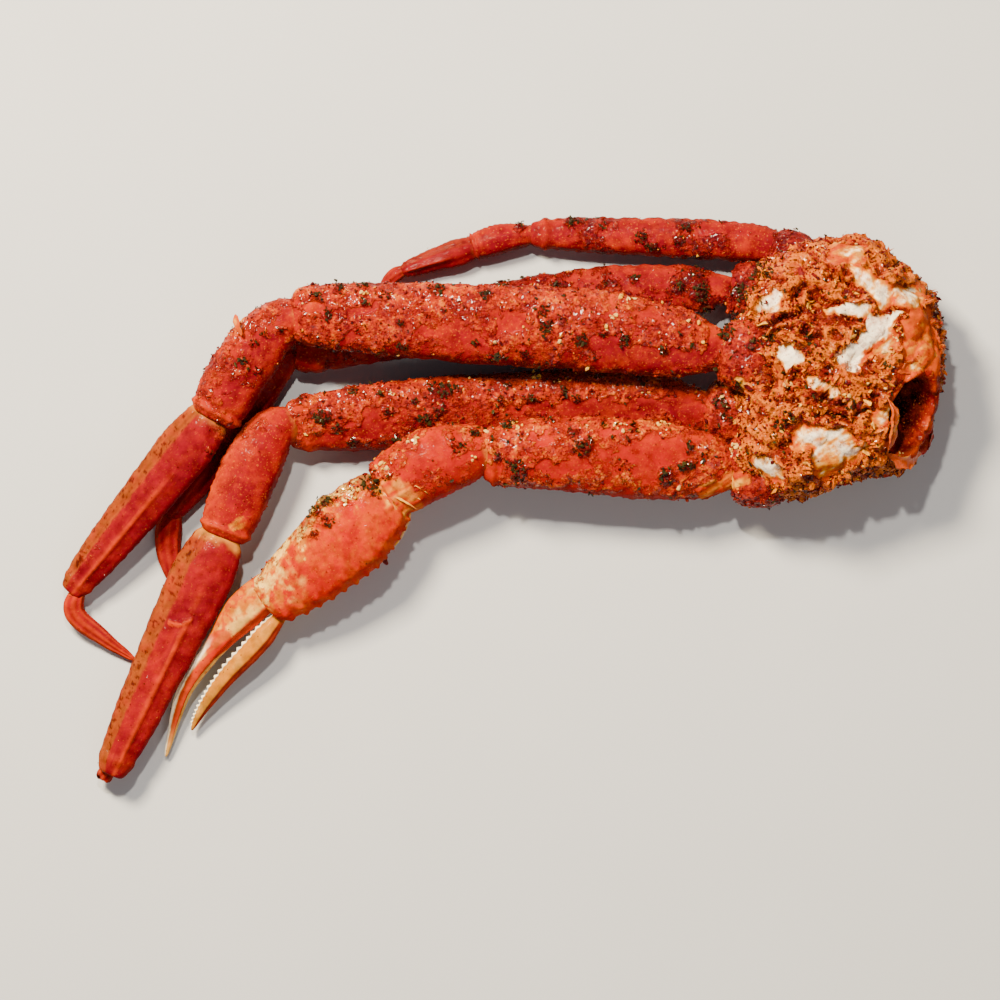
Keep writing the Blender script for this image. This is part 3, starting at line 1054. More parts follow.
def finger_paint(looks, kind, paint, share, around, grid):
    """The claw's two fingers.

    The moving finger is tan, yellower near the palm, with a red stripe along its lower side and
    white teeth. The fixed finger is cream, blotched yellow and orange near the palm, with a red
    stripe that swings from its inner side over its top, and a white outer edge near its tip.
    """
    mottle = rough_noise(grid, 3.0, 33, 4)
    fine = rough_noise(grid, 1.2, 36, 2)
    if kind == "finger":
        paint = layer(paint, looks.claw_tan, np.full(grid.shape[:2], 0.95))
        paint = layer(paint, looks.claw_cream, ramp_up(-0.2, 0.6, mottle) * 0.22)
        paint = layer(paint, looks.claw_yellow, ramp_up(0.75, 0.35, share + 0.2 * mottle) * 0.45)
        stripe = ramp_up(1.10, 0.85, np.abs(around - 0.25)) + ramp_up(5.6, 5.8, around + 0 * share)
        paint = layer(paint, looks.shell, np.clip(stripe, 0, 1) * ramp_up(0.04, 0.1, share) * 0.9)
        return layer(paint, looks.tooth, ramp_up(0.35, 0.6, ridge(around, TOOTH_ROW, 0.33)))
    blotch = ramp_up(0.78, 0.42, share + 0.10 * mottle)
    paint = layer(paint, looks.claw_cream, np.full(grid.shape[:2], 0.96))
    outer = ridge(around, FAR_KEEL * 0.85, 0.8)
    paint = layer(paint, looks.claw_yellow, blotch * ramp_up(-0.05, 0.50, outer + 0.6 * mottle))
    patch = round_spots(stirred(grid, 1.2, 3.0, 341), [(-77.0, -41.0, 5.6, 3.0, 52)])
    paint = layer(paint, looks.shell_orange, ramp_up(-0.3, 0.5, patch) * 0.9)
    flushed = blotch * ramp_up(0.25, 0.6, outer * 0.6 + 0.6 * fine)
    paint = layer(paint, looks.shell_orange, flushed * 0.8)
    edge = np.abs(around - 0.45 - 0.85 * ramp_up(0.30, 0.60, share)) + 0.06 * fine
    stripe = ramp_up(0.70, 0.45, edge) * ramp_up(0.02, 0.08, share)
    paint = layer(paint, looks.claw_red, stripe * ramp_up(1.0, 0.85, share) * 0.92)
    white = ramp_up(0.40, 0.55, share) * ramp_up(1.85, 2.15, around + 0.08 * fine)
    return layer(paint, looks.membrane_white, white)


def ring_cover(grid, normals):
    """A ragged ring of membrane: a bell across its radius, broken by noise."""
    east, north, radius = ROOT_RING
    moved = stirred(grid, 0.7, 1.8, 353)
    apart = np.hypot((moved[..., 0] - east) / 1.25, moved[..., 1] - north)
    broken = ramp_up(-0.55, 0.0, rough_noise(grid, 1.8, 355, 3))
    return hump(apart, radius, 0.42) * broken * ramp_up(0.0, 0.3, normals[..., 2])


def segment_piece(looks, limb, part, segment, material, slot):
    """One segment of a limb: its loft, raised by the shell's relief and then by the crust."""
    name = f"{limb}_{part}"
    kind = part
    cover = COVERS[name]
    spacing = looks.spacing * (0.62 if "finger" in part else 1.0)
    rings = segment_rings(segment, kind, spacing)
    share, around = rings.share, rings.around
    normals, _ = grid_normals(rings.grid)
    relief = shell_relief(kind, share, around, rings.grid) * ramp_up(0.0, 0.03, 1 - share)
    grid = rings.grid + normals * relief[..., None]
    crust = crust_cover(cover, share, around, grid, normals)
    spots = ramp_up(0.0, 0.5, round_spots(stirred(grid, 1.2, 3.0, 345), MEMBRANE_SPOTS))
    spots = spots * ramp_up(-0.1, 0.2, normals[..., 2])
    crust = crust * (1 - 0.85 * spots)
    relief = crust_height(grid)
    height = crust * relief * looks.crust_thickness / MM
    clumps = ramp_up(0.1, 0.8, round_spots(stirred(grid, 1.1, 2.0, 349), HERB_CLUMPS))
    clumps = clumps * ramp_up(0.1, 0.5, normals[..., 2])
    fibres = rough_noise(grid @ turned_frame((0, 0, 35)) * (0.22, 1, 1), 1.5, 149, 3)
    mound = 0.30 + 0.8 * np.abs(rough_noise(grid, 1.6, 147, 3))
    height = height + clumps * mound + 0.35 * spots * np.abs(fibres)
    ring = ring_cover(grid, normals) if limb == "arm" else 0 * crust
    crust = crust * (1 - 0.6 * ring)
    height = height + 0.4 * ring
    raised = grid + normals * height[..., None]
    raised[0], raised[-1] = raised[0].mean(axis=0), raised[-1].mean(axis=0)
    paint = shell_paint(looks, kind, cover, share, around, grid, normals)
    paint = layer(paint, looks.shell_orange, spots * 0.85)
    paint = layer(paint, looks.claw_yellow, spots * ramp_up(-0.35, 0.15, fibres))
    paint = layer(paint, looks.membrane, spots * ramp_up(0.10, 0.55, fibres))
    paint = layer(paint, looks.membrane, ring * ramp_up(-0.3, 0.3, fibres) * 0.7)
    lift = np.clip(relief / 1.7, 0, 1) - 0.75 * clumps
    if part in ("merus", "carpus") and limb == "arm":
        paint = layer(paint, looks.claw_red, 0.45 + 0 * crust)
        lift = lift + 0.2
    if limb in DEEP_LIMBS:
        paint = layer(paint, looks.shell_deep, 0.6 + 0 * crust)
        lift = lift - 0.55
    normals, area = grid_normals(raised)
    SURFACES.append(Surface(name, raised, normals, crust, area))
    piece = closed_object(f"{name}_shell", raised, material, paint=paint, crust=crust, lift=lift)
    nodes = [f"{limb}_palm"] if part == "fixed_finger" else [name]
    stand_for(piece, slot, *nodes)
    return piece


# ---------------------------------------------------------------- shoulder


def outline_reach(outline, centre, angles):
    """How far an outline seen from above lies from a centre in each direction."""
    start = np.array(outline, float) - centre
    edge = np.roll(start, -1, axis=0) - start
    way = np.stack([np.cos(angles), np.sin(angles)], axis=-1)[:, None]
    facing = way[..., 0] * edge[:, 1] - way[..., 1] * edge[:, 0]
    facing = np.where(np.abs(facing) < 1e-9, 1e-9, facing)
    reach = (start[:, 0] * edge[:, 1] - start[:, 1] * edge[:, 0]) / facing
    share = (start[:, 0] * way[..., 1] - start[:, 1] * way[..., 0]) / facing
    hits = (reach > 0) & (share >= 0) & (share <= 1)
    return np.where(hits, reach, 0).max(axis=1)


def shoulder_grid(spacing):
    """A domed block with the shoulder's outline, over a flat underside.

    With level l = cos(latitude), the reach is the outline's times l^0.5, and the rise is
    sin(latitude)^0.8 times a wave of three and five. Rings lie closer together on top.
    """
    across = np.linspace(0, 1, int(78 / spacing))
    latitude = np.pi / 2 - np.pi * (0.72 * across + 0.28 * across**3)
    around = np.linspace(0, 2 * np.pi, int(150 / spacing), endpoint=False)
    reach = outline_reach(SHOULDER_OUTLINE, SHOULDER_CENTRE[:2], around)
    blur = np.exp(-(np.linspace(-2, 2, 25) ** 2))
    reach = np.convolve(np.concatenate([reach[-12:], reach, reach[:12]]), blur / blur.sum(), "valid")
    around = around[None, :]
    level = np.cos(latitude).clip(0)[:, None]
    height = np.sin(latitude)[:, None]
    crest = 1 + level * (0.05 * np.cos(5 * around + 0.4) + 0.04 * np.sin(3 * around))
    rise = np.where(height > 0, SHOULDER_RISE, SHOULDER_DROP)
    grid = SHOULDER_CENTRE + np.stack([
        np.cos(around) * level**0.5 * reach[None],
        np.sin(around) * level**0.5 * reach[None],
        signed_power(height, 0.8) * rise * crest,
    ], axis=-1)
    grid[..., 2] = np.maximum(grid[..., 2], 0.0)
    return grid


def turned_frame(angles_deg):
    """The matrix that turns about X, then Y, then Z."""
    x, y, z = np.radians(angles_deg)
    about_x = np.array([[1, 0, 0], [0, np.cos(x), -np.sin(x)], [0, np.sin(x), np.cos(x)]])
    about_y = np.array([[np.cos(y), 0, np.sin(y)], [0, 1, 0], [-np.sin(y), 0, np.cos(y)]])
    about_z = np.array([[np.cos(z), -np.sin(z), 0], [np.sin(z), np.cos(z), 0], [0, 0, 1]])
    return about_z @ about_y @ about_x


def hollow_out(grid):
    """Pushes what lies inside the torn chamber down its opening's axis into a deep bowl.

    In a space where the chamber is a ball of radius 1, a point q goes to q - f t u, where u is the
    opening's direction, t = q.u + sqrt((q.u)^2 + 1 - |q|^2) and f falls from 1 to 0 as |q| goes
    from 0.55 to 1. Returns the grid and the depth.
    """
    turn = turned_frame(CHAMBER_TILT)
    local = (grid - CHAMBER_CENTRE) @ turn / CHAMBER_RADII
    opening = CHAMBER_OPENING / np.linalg.norm(CHAMBER_OPENING)
    size = np.sum(local**2, axis=-1)
    along = local @ opening
    drop = along + np.sqrt(np.clip(along**2 + 1 - size, 0, None))
    drop = np.clip(drop, 0, None) * ramp_up(1.0, 0.55, np.sqrt(size))
    carved = (local - drop[..., None] * opening) * CHAMBER_RADII @ turn.T + CHAMBER_CENTRE
    return np.where((size < 1)[..., None], carved, grid), np.clip(drop, 0, 1)


def shoulder_sheets(grid, top):
    """How much torn sheet lies at each point, and how white it is: whitest away from its edges."""
    ragged = stirred(grid, 1.3, 3.4, 11) + 0.5 * (stirred(grid, 1.0, 0.9, 14) - grid)
    sheet = np.zeros(grid.shape[:2])
    white = np.zeros(grid.shape[:2])
    for patch in SHOULDER_SHEETS:
        inside = inside_outline(ragged, patch.outline)
        depth = ramp_up(-0.9, -0.2, inside) * top
        sheet = np.maximum(sheet, depth)
        white = np.maximum(white, depth * (patch.whiteness - 0.6 * ramp_up(1.6, -0.8, inside)))
    return sheet, white


def shoulder_paint(looks, grid, normals, sheet, white):
    """The shoulder's own colours: orange-red flesh, with sheets from orange to yellow and white.

    A sheet is streaked along one direction by stretched noise, as torn muscle and membrane are.
    """
    tone = ramp_up(-0.6, 0.6, rough_noise(grid, 6.0, 137, 4))[..., None]
    paint = np.array(looks.shoulder) * tone + np.array(looks.shell) * (1 - tone)
    paint = layer(paint, looks.shell_under, 0.5 * ramp_up(-0.1, -0.7, normals[..., 2]))
    turned = grid @ turned_frame((0, 0, 38))
    streaks = rough_noise(turned * (0.28, 1.0, 1.0), 1.7, 139, 4)
    value = white + 0.42 * streaks + 0.16 * rough_noise(grid, 1.0, 141, 3)
    paint = layer(paint, looks.shoulder, sheet)
    paint = layer(paint, looks.claw_yellow, sheet * ramp_up(0.12, 0.40, value))
    paint = layer(paint, looks.membrane, sheet * ramp_up(0.34, 0.62, value))
    return layer(paint, looks.membrane_white, sheet * ramp_up(0.46, 0.80, value))


def shoulder_piece(looks, material):
    """The shoulder: lumps, clefts, smooth torn sheets, crumbly crust and the torn chamber."""
    grid = shoulder_grid(looks.spacing * 1.0)
    normals, _ = grid_normals(grid)
    top = ramp_up(-0.1, 0.3, normals[..., 2])
    sheet, white = shoulder_sheets(grid, top)
    warped = stirred(grid, 1.1, 3.2, 17)
    cleft = np.zeros(grid.shape[:2])
    for line in SHOULDER_CLEFTS:
        cleft = np.maximum(cleft, hump(near_line(warped, line), 0, 0.95))
    cleft = cleft * (1 - sheet)
    lumps = 1.5 * rough_noise(grid, 9.0, 101, 3) + 1.5 * (pebbles(grid, 6.5, 107) - 0.35)
    ragged = 0.9 * rough_noise(grid, 3.4, 109, 3) * ramp_up(0.7, 0.2, np.abs(normals[..., 2]))
    raised = grid + normals * (lumps + ragged - 2.6 * cleft * top)[..., None]
    over = np.maximum(raised[..., 2] - SHOULDER_CEILING + 3, 0)
    raised[..., 2] = np.minimum(raised[..., 2], SHOULDER_CEILING - 3) + 3 * np.tanh(over / 3)
    beyond = np.maximum(raised[..., 0] - SHOULDER_EDGE + 3, 0)
    raised[..., 0] = np.minimum(raised[..., 0], SHOULDER_EDGE - 3) + 3 * np.tanh(beyond / 3)
    raised[..., 2] = np.where(grid[..., 2] < 0.2, 0.0, raised[..., 2])
    raised, depth = hollow_out(raised)
    inside = ramp_up(0.02, 0.14, depth)
    relief = shoulder_crumbs(grid)
    bare = ramp_up(0.15, 0.55, rough_noise(grid, 7.0, 113, 3)) * ramp_up(0.5, 0.0, normals[..., 2])
    stain = ramp_up(-0.6, 0.9, inside_outline(stirred(grid, 1.3, 3.0, 151), CHAMBER_STAIN))
    stain = stain * ramp_up(6.0, 10.0, grid[..., 2])
    crust = (1 - sheet) * (1 - 0.8 * bare) * (1 - inside) * (1 - 0.85 * stain)
    creases = 0.22 * np.abs(rough_noise(grid @ turned_frame((0, 0, 38)) * (0.3, 1, 1), 1.8, 127, 3))
    thickness = 3.0 * looks.crust_thickness / MM
    raised = raised + normals * (crust * thickness * relief + (sheet + inside) * creases)[..., None]
    raised[0], raised[-1] = raised[0].mean(axis=0), raised[-1].mean(axis=0)
    paint = shoulder_paint(looks, grid, normals, sheet, white)
    paint = layer(paint, looks.cavity, ramp_up(0.4, 0.95, cleft) * 0.65)
    walls = ramp_up(-0.2, 0.5, rough_noise(grid, 3.5, 143, 3))
    stained = np.maximum(inside, stain * ramp_up(-0.5, 0.1, walls - 0.4))
    paint = layer(paint, looks.membrane_red, stained * 0.92)
    paint = layer(paint, looks.cavity, inside * ramp_up(0.25, 0.75, depth + 0.25 * walls))
    lift = np.clip(2.0 * relief / 1.7 - 0.55, -0.8, 1.1) - 1.2 * cleft
    normals, area = grid_normals(raised)
    SURFACES.append(Surface("shoulder", raised, normals, crust, area))
    piece = closed_object("shoulder_body", raised, material, paint=paint, crust=crust, lift=lift)
    stand_for(piece, "membrane", "shoulder")
    return piece


def shoulder_crumbs(grid):
    """The shoulder crust's height: broad paste, torn crests and crumbs of three sizes."""
    paste = 0.20 + 0.55 * rough_noise(grid, 5.5, 56, 3)
    crests = 1.35 * creased(grid, 5.2, 66) ** 2 + 0.55 * creased(grid, 2.4, 70)
    crumbs = 0.55 * pebbles(grid, 2.7, 72) + 0.16 * pebbles(grid, 1.3, 76)
    return np.clip(paste + crests + crumbs - 0.45, 0.0, None)


# ---------------------------------------------------------------- torn membrane

# A strip of torn membrane: its line, half width, roll, how frayed its edges are, how far it
# curls up at its edges, and its colour as a share from orange (0) to white (1), or red below 0.
Strip = namedtuple("Strip", "points half_width roll_deg fray curl whiteness")
STRIP_THICKNESS = 0.26
STRIP_SPACING = 0.34
STRIPS = [
    # Stained flaps at the shoulder's cut side and round the chamber.
    Strip([(111, 53.5, 22), (114.4, 47, 21.5), (116.2, 40, 20), (116.3, 33, 17)], 2.8, 55, 0.6, 1.2, -0.5),
    Strip([(113.5, 45, 25), (116.3, 38, 22), (116.6, 30, 18)], 2.3, 25, 0.6, 0.8, 0.0),
    Strip([(111, 37, 28), (115.0, 33, 23), (116.3, 27, 16)], 2.6, 35, 0.6, 0.6, -0.6),
    Strip([(114.8, 27, 22), (115.4, 19, 18), (114.2, 11, 15)], 2.8, 78, 0.6, 0.8, -0.7),
    Strip([(102, 25.5, 34), (103.6, 21, 34), (103.2, 15, 32.5), (102.6, 10, 29)], 1.1, -50, 0.8, 1.4, 0.0),
    Strip([(104.4, 18.5, 31.5), (105.2, 15, 30.5), (103.4, 11.5, 29.5)], 1.2, 80, 0.5, 1.0, 0.15),
    Strip([(102.5, 9.8, 27), (107.5, 8.2, 24.5), (112.5, 10, 20)], 2.0, 30, 0.6, 1.0, 0.0),
    Strip([(105, 31.5, 33.5), (110, 33.5, 30), (114.5, 32, 26)], 1.8, 15, 0.6, 1.2, -0.1),
    # Thin edges along the side by the claw, and the flap at the far side.
    Strip([(69.5, 3, 14), (76, 1.6, 13), (82, 0.6, 12), (88, 2.6, 13)], 1.8, 12, 0.6, 0.5, 0.3),
    Strip([(86, 3.2, 15), (92, 4.8, 15), (99, 7.2, 15), (104.5, 7.4, 14)], 1.6, 18, 0.6, 0.5, 0.25),
    Strip([(83.5, 61, 23), (88, 63.8, 23), (93, 64.8, 22), (96.5, 61, 23)], 2.0, -35, 0.5, 0.8, 0.2),
    # Joints of the claw arm.
    Strip([(-29.5, 1.8, 20.6), (-25.5, 0, 20.8), (-22, -2.5, 19.9)], 0.35, 0, 0.4, 0.2, 0.45),
    Strip([(-31.5, -0.5, 20.4), (-27, -2.5, 20.4), (-23, -5, 18.9)], 0.3, 0, 0.4, 0.2, 0.4),
    Strip([(-25.3, 2.6, 21.2), (-22.5, 1, 21.2), (-20, -0.8, 20.7)], 0.3, 0, 0.4, 0.2, 0.35),
    Strip([(-33.5, 0.5, 20), (-30, -4, 20.2), (-27, -8, 18)], 0.9, 10, 0.5, 0.4, 0.2),
    Strip([(-36, 3, 18), (-32.5, -1, 20), (-31, -6, 19.4)], 1.0, -10, 0.5, 0.4, 0.15),
    Strip([(-25, -5.5, 12), (-27.5, -10, 10), (-30, -15.5, 8)], 1.5, 0, 0.4, 0.2, 0.55),
    Strip([(-31.2, -15.2, 9), (-31.8, -17.6, 8.2), (-31.4, -20, 7.4)], 1.3, 10, 0.7, 0.5, -0.8),
    # A flake of shell that stands off the upper leg's bend.
    Strip([(-71.8, 47.4, 23), (-71.2, 44.5, 24), (-70, 41.5, 23.4)], 1.1, 25, 0.4, 0.4, 0.1),
]


def strip_paint(looks, strip, grid):
    """The strip's colour: from stained red through orange and cream to white, in soft patches."""
    tone = strip.whiteness + 0.30 * rough_noise(grid, 2.4, 401, 3)
    paint = np.broadcast_to(np.array(looks.shoulder), grid.shape)
    paint = layer(paint, looks.membrane_red, ramp_up(0.0, -0.5, tone))
    paint = layer(paint, looks.membrane, ramp_up(0.1, 0.5, tone))
    return layer(paint, looks.membrane_white, ramp_up(0.55, 0.95, tone))


def strip_grid(strip, thickness, spacing, seed):
    """A thin strip along a line, from a flattened segment.

    Points move along the width by the fray times noise, and off the strip by a wave of noise
    plus the curl times the square of their place across it.
    """
    segment = Segment(strip.points, strip.half_width, thickness, strip.roll_deg)
    rings = segment_rings(segment, "ribbon", spacing)
    offset = rings.grid - rings.middle[:, None]
    across = np.sum(offset * rings.width_axis[:, None], axis=-1)
    place = across / strip.half_width
    tears = rough_noise(rings.grid, 2.6, seed, 4) + 0.5 * rough_noise(rings.grid, 0.9, seed + 7, 2)
    ragged = 1 + strip.fray * tears
    wave = 0.55 * rough_noise(rings.grid * (1, 1, 0.2), 4.0, seed + 3, 3) + strip.curl * place**2
    wave = wave * ramp_up(0.0, 0.25, rings.share)
    return (
        rings.grid
        + rings.width_axis[:, None] * (across * (ragged - 1))[..., None]
        + rings.depth_axis[:, None] * wave[..., None]
    )


# ---------------------------------------------------------------- loose seasoning


def ball_of_twenty():
    """The twelve corners and twenty faces of an icosahedron of radius 1."""
    golden = (1 + 5**0.5) / 2
    corners = np.array([
        (-1, golden, 0), (1, golden, 0), (-1, -golden, 0), (1, -golden, 0),
        (0, -1, golden), (0, 1, golden), (0, -1, -golden), (0, 1, -golden),
        (golden, 0, -1), (golden, 0, 1), (-golden, 0, -1), (-golden, 0, 1),
    ])
    faces = np.array([
        (0, 11, 5), (0, 5, 1), (0, 1, 7), (0, 7, 10), (0, 10, 11), (1, 5, 9), (5, 11, 4),
        (11, 10, 2), (10, 7, 6), (7, 1, 8), (3, 9, 4), (3, 4, 2), (3, 2, 6), (3, 6, 8),
        (3, 8, 9), (4, 9, 5), (2, 4, 11), (6, 2, 10), (8, 6, 7), (9, 8, 1),
    ])
    return corners / np.linalg.norm(corners[0]), faces


def flake():
    """A thin leaf: a ring of six points at radius 1 with one point above and one below."""
    angle = np.arange(6) * np.pi / 3
    ring = np.stack([np.cos(angle), np.sin(angle), 0 * angle], axis=1)
    corners = np.concatenate([ring, [(0, 0, 1), (0, 0, -1)]])
    around = np.arange(6)
    onwards = (around + 1) % 6
    upper = np.stack([around, onwards, np.full(6, 6)], axis=1)
    lower = np.stack([onwards, around, np.full(6, 7)], axis=1)
    return corners, np.concatenate([upper, lower])


Seats = namedtuple("Seats", "points normals")


def pick_seats(rng, count, weigh):
    """Random seats on all surfaces, likelier where weigh(surface) and the area around are larger."""
    points = np.concatenate([surface.points.reshape(-1, 3) for surface in SURFACES])
    normals = np.concatenate([surface.normals.reshape(-1, 3) for surface in SURFACES])
    weights = np.concatenate([(weigh(surface) * surface.area).ravel() for surface in SURFACES])
    weights = np.clip(weights, 0, None)
    chosen = rng.choice(len(points), size=count, replace=True, p=weights / weights.sum())
    nudge = rng.normal(0, 0.12, (count, 3))
    return Seats(points[chosen] + nudge, normals[chosen])


def bit_sizes(rng, count, shape, step, least, slimmest, widest):
    """Half lengths in mm along three axes: gamma-spread sizes above the least, stretched at random."""
    size = rng.gamma(shape, step, count) + least
    return size[:, None] * rng.uniform(slimmest, widest, (count, 3))


def bits_object(name, slot, shape, seats, sizes, sink, paint, material, rng, bend=0.0, jitter=0.3,
                tilt=0.35):
    """Many small flat-faced bits as one mesh: the shape, stretched, dented and set on each seat.

    Sizes are half lengths along two flat axes and the normal. Each corner moves in or out by the
    jitter. The bend lifts a corner by bend times its place along the first axis squared.
    """
    corners, faces = shape
    count = len(seats.points)
    local = corners[None] * (1 + rng.uniform(-jitter, jitter, (count, len(corners), 1)))
    lift = bend * rng.uniform(0.2, 1.0, (count, 1)) * local[..., 0] ** 2
    local = local * sizes[:, None, :]
    local[..., 2] += lift * sizes[:, 0:1]
    up = seats.normals + rng.normal(0, tilt, (count, 3))
    up /= np.linalg.norm(up, axis=1, keepdims=True)
    side = np.cross(up, rng.normal(0, 1, (count, 3)))
    side /= np.linalg.norm(side, axis=1, keepdims=True)
    axes = np.stack([side, np.cross(up, side), up], axis=1)
    centres = seats.points + seats.normals * sizes[:, 2:3] * (1 - sink)
    placed = centres[:, None] + np.einsum("nvj,njk->nvk", local, axes)
    placed = in_metres(placed.reshape(-1, 3))
    index = faces[None] + (np.arange(count) * len(corners))[:, None, None]
    colours = np.repeat(paint, len(corners), axis=0)
    piece = mesh_object(
        name, placed, index.ravel(), np.full(count * len(faces), 3), material, {"paint": colours})
    piece.data.shade_flat()
    stand_for(piece, slot)


def strew_grains(looks):
    """Coarse grains in the crust's own browns.

    A point weighs its crust's height, times how far it faces up, times soft clumps of noise.
    The shoulder's points weigh three times as much.
    """
    rng = np.random.default_rng(21)
    count = looks.grains

    def weigh(surface):
        clumps = 0.35 + ramp_up(-0.1, 0.6, rough_noise(surface.points, 5.0, 41, 2))
        facing = ramp_up(-0.5, 0.3, surface.normals[..., 2])
        more = 3.0 if surface.name == "shoulder" else 1.0
        return more * facing * clumps * ramp_up(0.45, 0.9, surface.crust)

    seats = pick_seats(rng, count, weigh)
    sizes = bit_sizes(rng, count, 4.0, 0.045, 0.15, (0.8, 0.6, 0.5), (1.5, 1.0, 0.9))
    tone = rng.uniform(0, 1, (count, 1))
    paint = np.where(
        tone < 0.5,
        blend_rows(looks.crust_dark, looks.crust_mid, tone * 2),
        blend_rows(looks.crust_mid, looks.crust_bright, tone * 2 - 1))
    pale = rng.uniform(0, 1, (count, 1)) < 0.07
    paint = np.where(pale, np.array(looks.crust_pale)[None], paint)
    material = loose_material("crust_grains", 0.32, 0.35, 0.12)
    bits_object(
        "crust_grains", "membrane", ball_of_twenty(), seats, sizes, 0.45, paint, material, rng)


def strew_shreds(looks):
    """Torn shreds of crust and flesh, thin and curled, on the shoulder only.

    A point weighs its crust's height, times how far it faces up, times soft clumps of noise.
    """
    rng = np.random.default_rng(25)
    count = looks.shreds

    def weigh(surface):
        if surface.name != "shoulder":
            return 0 * surface.crust
        clumps = 0.2 + ramp_up(-0.2, 0.5, rough_noise(surface.points, 4.5, 47, 2))
        return ramp_up(-0.6, 0.2, surface.normals[..., 2]) * clumps * ramp_up(0.3, 0.8, surface.crust)

    seats = pick_seats(rng, count, weigh)
    sizes = bit_sizes(rng, count, 4.0, 0.13, 0.25, (0.9, 0.4, 0.12), (1.5, 0.8, 0.3))
    tone = rng.uniform(0, 1, (count, 1))
    paint = blend_rows(looks.shoulder_mid, looks.shoulder_bright, tone)
    kind = rng.uniform(0, 1, (count, 1))
    paint = np.where(kind < 0.08, blend_rows(looks.claw_yellow, looks.membrane, tone), paint)
    paint = np.where(kind > 0.80, blend_rows(looks.crust_dark, looks.crust_mid, tone), paint)
    material = loose_material("torn_shreds", 0.36, 0.25, 0.1)
    bits_object(
        "torn_shreds", "membrane", flake(), seats, sizes, 0.4, paint, material, rng,
        bend=0.5, jitter=0.4, tilt=0.6)


def strew_crumbs(looks):
    """Fine crumbs all over, with a thin scatter on the bare shell.

    A point weighs its crust's height plus a little clumped noise, times how far it faces up.
    The claw's fingers weigh far less.
    """
    rng = np.random.default_rng(22)
    count = looks.crumbs

    def weigh(surface):
        facing = ramp_up(-0.5, 0.3, surface.normals[..., 2])
        clumps = 0.3 + ramp_up(-0.2, 0.6, rough_noise(surface.points, 3.5, 43, 2))
        fingers = 0.15 if "finger" in surface.name else 1.0
        return facing * fingers * (0.22 * clumps + ramp_up(0.2, 0.8, surface.crust))

    seats = pick_seats(rng, count, weigh)
    sizes = bit_sizes(rng, count, 4.0, 0.020, 0.08, (0.8, 0.6, 0.5), (1.3, 1.0, 0.9))
    tone = rng.uniform(0, 1, (count, 1))
    paint = blend_rows(looks.crust_mid, looks.crust_bright, tone)
    kind = rng.uniform(0, 1, (count, 1))
    paint = np.where(kind < 0.08, np.array(looks.crust_pale)[None], paint)
    paint = np.where(kind > 0.88, np.array(looks.herb)[None], paint)
    material = loose_material("fine_crumbs", 0.34, 0.3, 0.08)
    bits_object(
        "fine_crumbs", "membrane", ball_of_twenty(), seats, sizes, 0.4, paint, material, rng)


def strew_herbs(looks):
    """Dark curled flakes: most in the clumps, the rest singly over the crust.

    A point weighs its place in a clump times how far it faces up, plus a trace of the crust's
    height. Each flake is then lifted off the surface by a drawn height squared.
    """
    rng = np.random.default_rng(23)
    count = looks.flakes

    def weigh(surface):
        facing = ramp_up(-0.2, 0.3, surface.normals[..., 2])
        clump = ramp_up(0.0, 0.5, round_spots(surface.points, HERB_CLUMPS)) * facing
        single = 0.018 * ramp_up(0.2, 0.9, surface.crust) * (0.4 + facing)
        return clump + single

    seats = pick_seats(rng, count, weigh)
    lift = rng.uniform(0, 0.75, (count, 1)) ** 2
    seats = Seats(seats.points + seats.normals * lift, seats.normals)
    sizes = bit_sizes(rng, count, 5.0, 0.050, 0.14, (0.9, 0.5, 0.15), (1.5, 0.95, 0.4))
    tone = rng.uniform(0, 1, (count, 1)) ** 2
    paint = blend_rows(looks.herb, looks.herb_green, tone)
    brown = rng.uniform(0, 1, (count, 1)) < 0.22
    browned = blend_rows(looks.herb, looks.crust_mid, rng.uniform(0.2, 0.8, (count, 1)))
    paint = np.where(brown, browned, paint)
    material = loose_material("dark_herbs", 0.38, 0.4, 0.08)
    bits_object(
        "dark_herbs", "red_shell", flake(), seats, sizes, 0.2, paint, material, rng,
        bend=0.5, jitter=0.35, tilt=0.7)


def strew_garlic(looks):
    """Pale angular bits of garlic: most in the heaps, a few singly.

    A point weighs its place in a heap, plus a trace of the crust's height, both times how far
    it faces up.
    """
    rng = np.random.default_rng(24)
    count = looks.garlic

    def weigh(surface):
        facing = ramp_up(0.0, 0.4, surface.normals[..., 2])
        heap = ramp_up(0.0, 0.4, round_spots(surface.points, GARLIC_HEAPS)) * facing
        return heap + 0.006 * facing * ramp_up(0.3, 0.9, surface.crust)

    seats = pick_seats(rng, count, weigh)
    sizes = bit_sizes(rng, count, 5.0, 0.065, 0.16, (0.8, 0.6, 0.45), (1.4, 1.0, 0.8))
    tone = rng.uniform(0, 1, (count, 1))
    paint = blend_rows(looks.garlic_colour, looks.membrane_white, tone * 0.2)
    stained = rng.uniform(0, 1, (count, 1)) < 0.3
    reddened = blend_rows(looks.garlic_colour, looks.crust_bright, tone * 0.7)
    paint = np.where(stained, reddened, paint)
    material = loose_material("garlic_bits", 0.34, 0.6, 0.10)
    bits_object(
        "garlic_bits", "membrane", ball_of_twenty(), seats, sizes, 0.5, paint, material, rng)


# ---------------------------------------------------------------- stage


FLOOR_REACH = 4.0
FLOOR_PATCHES_MM = 60.0


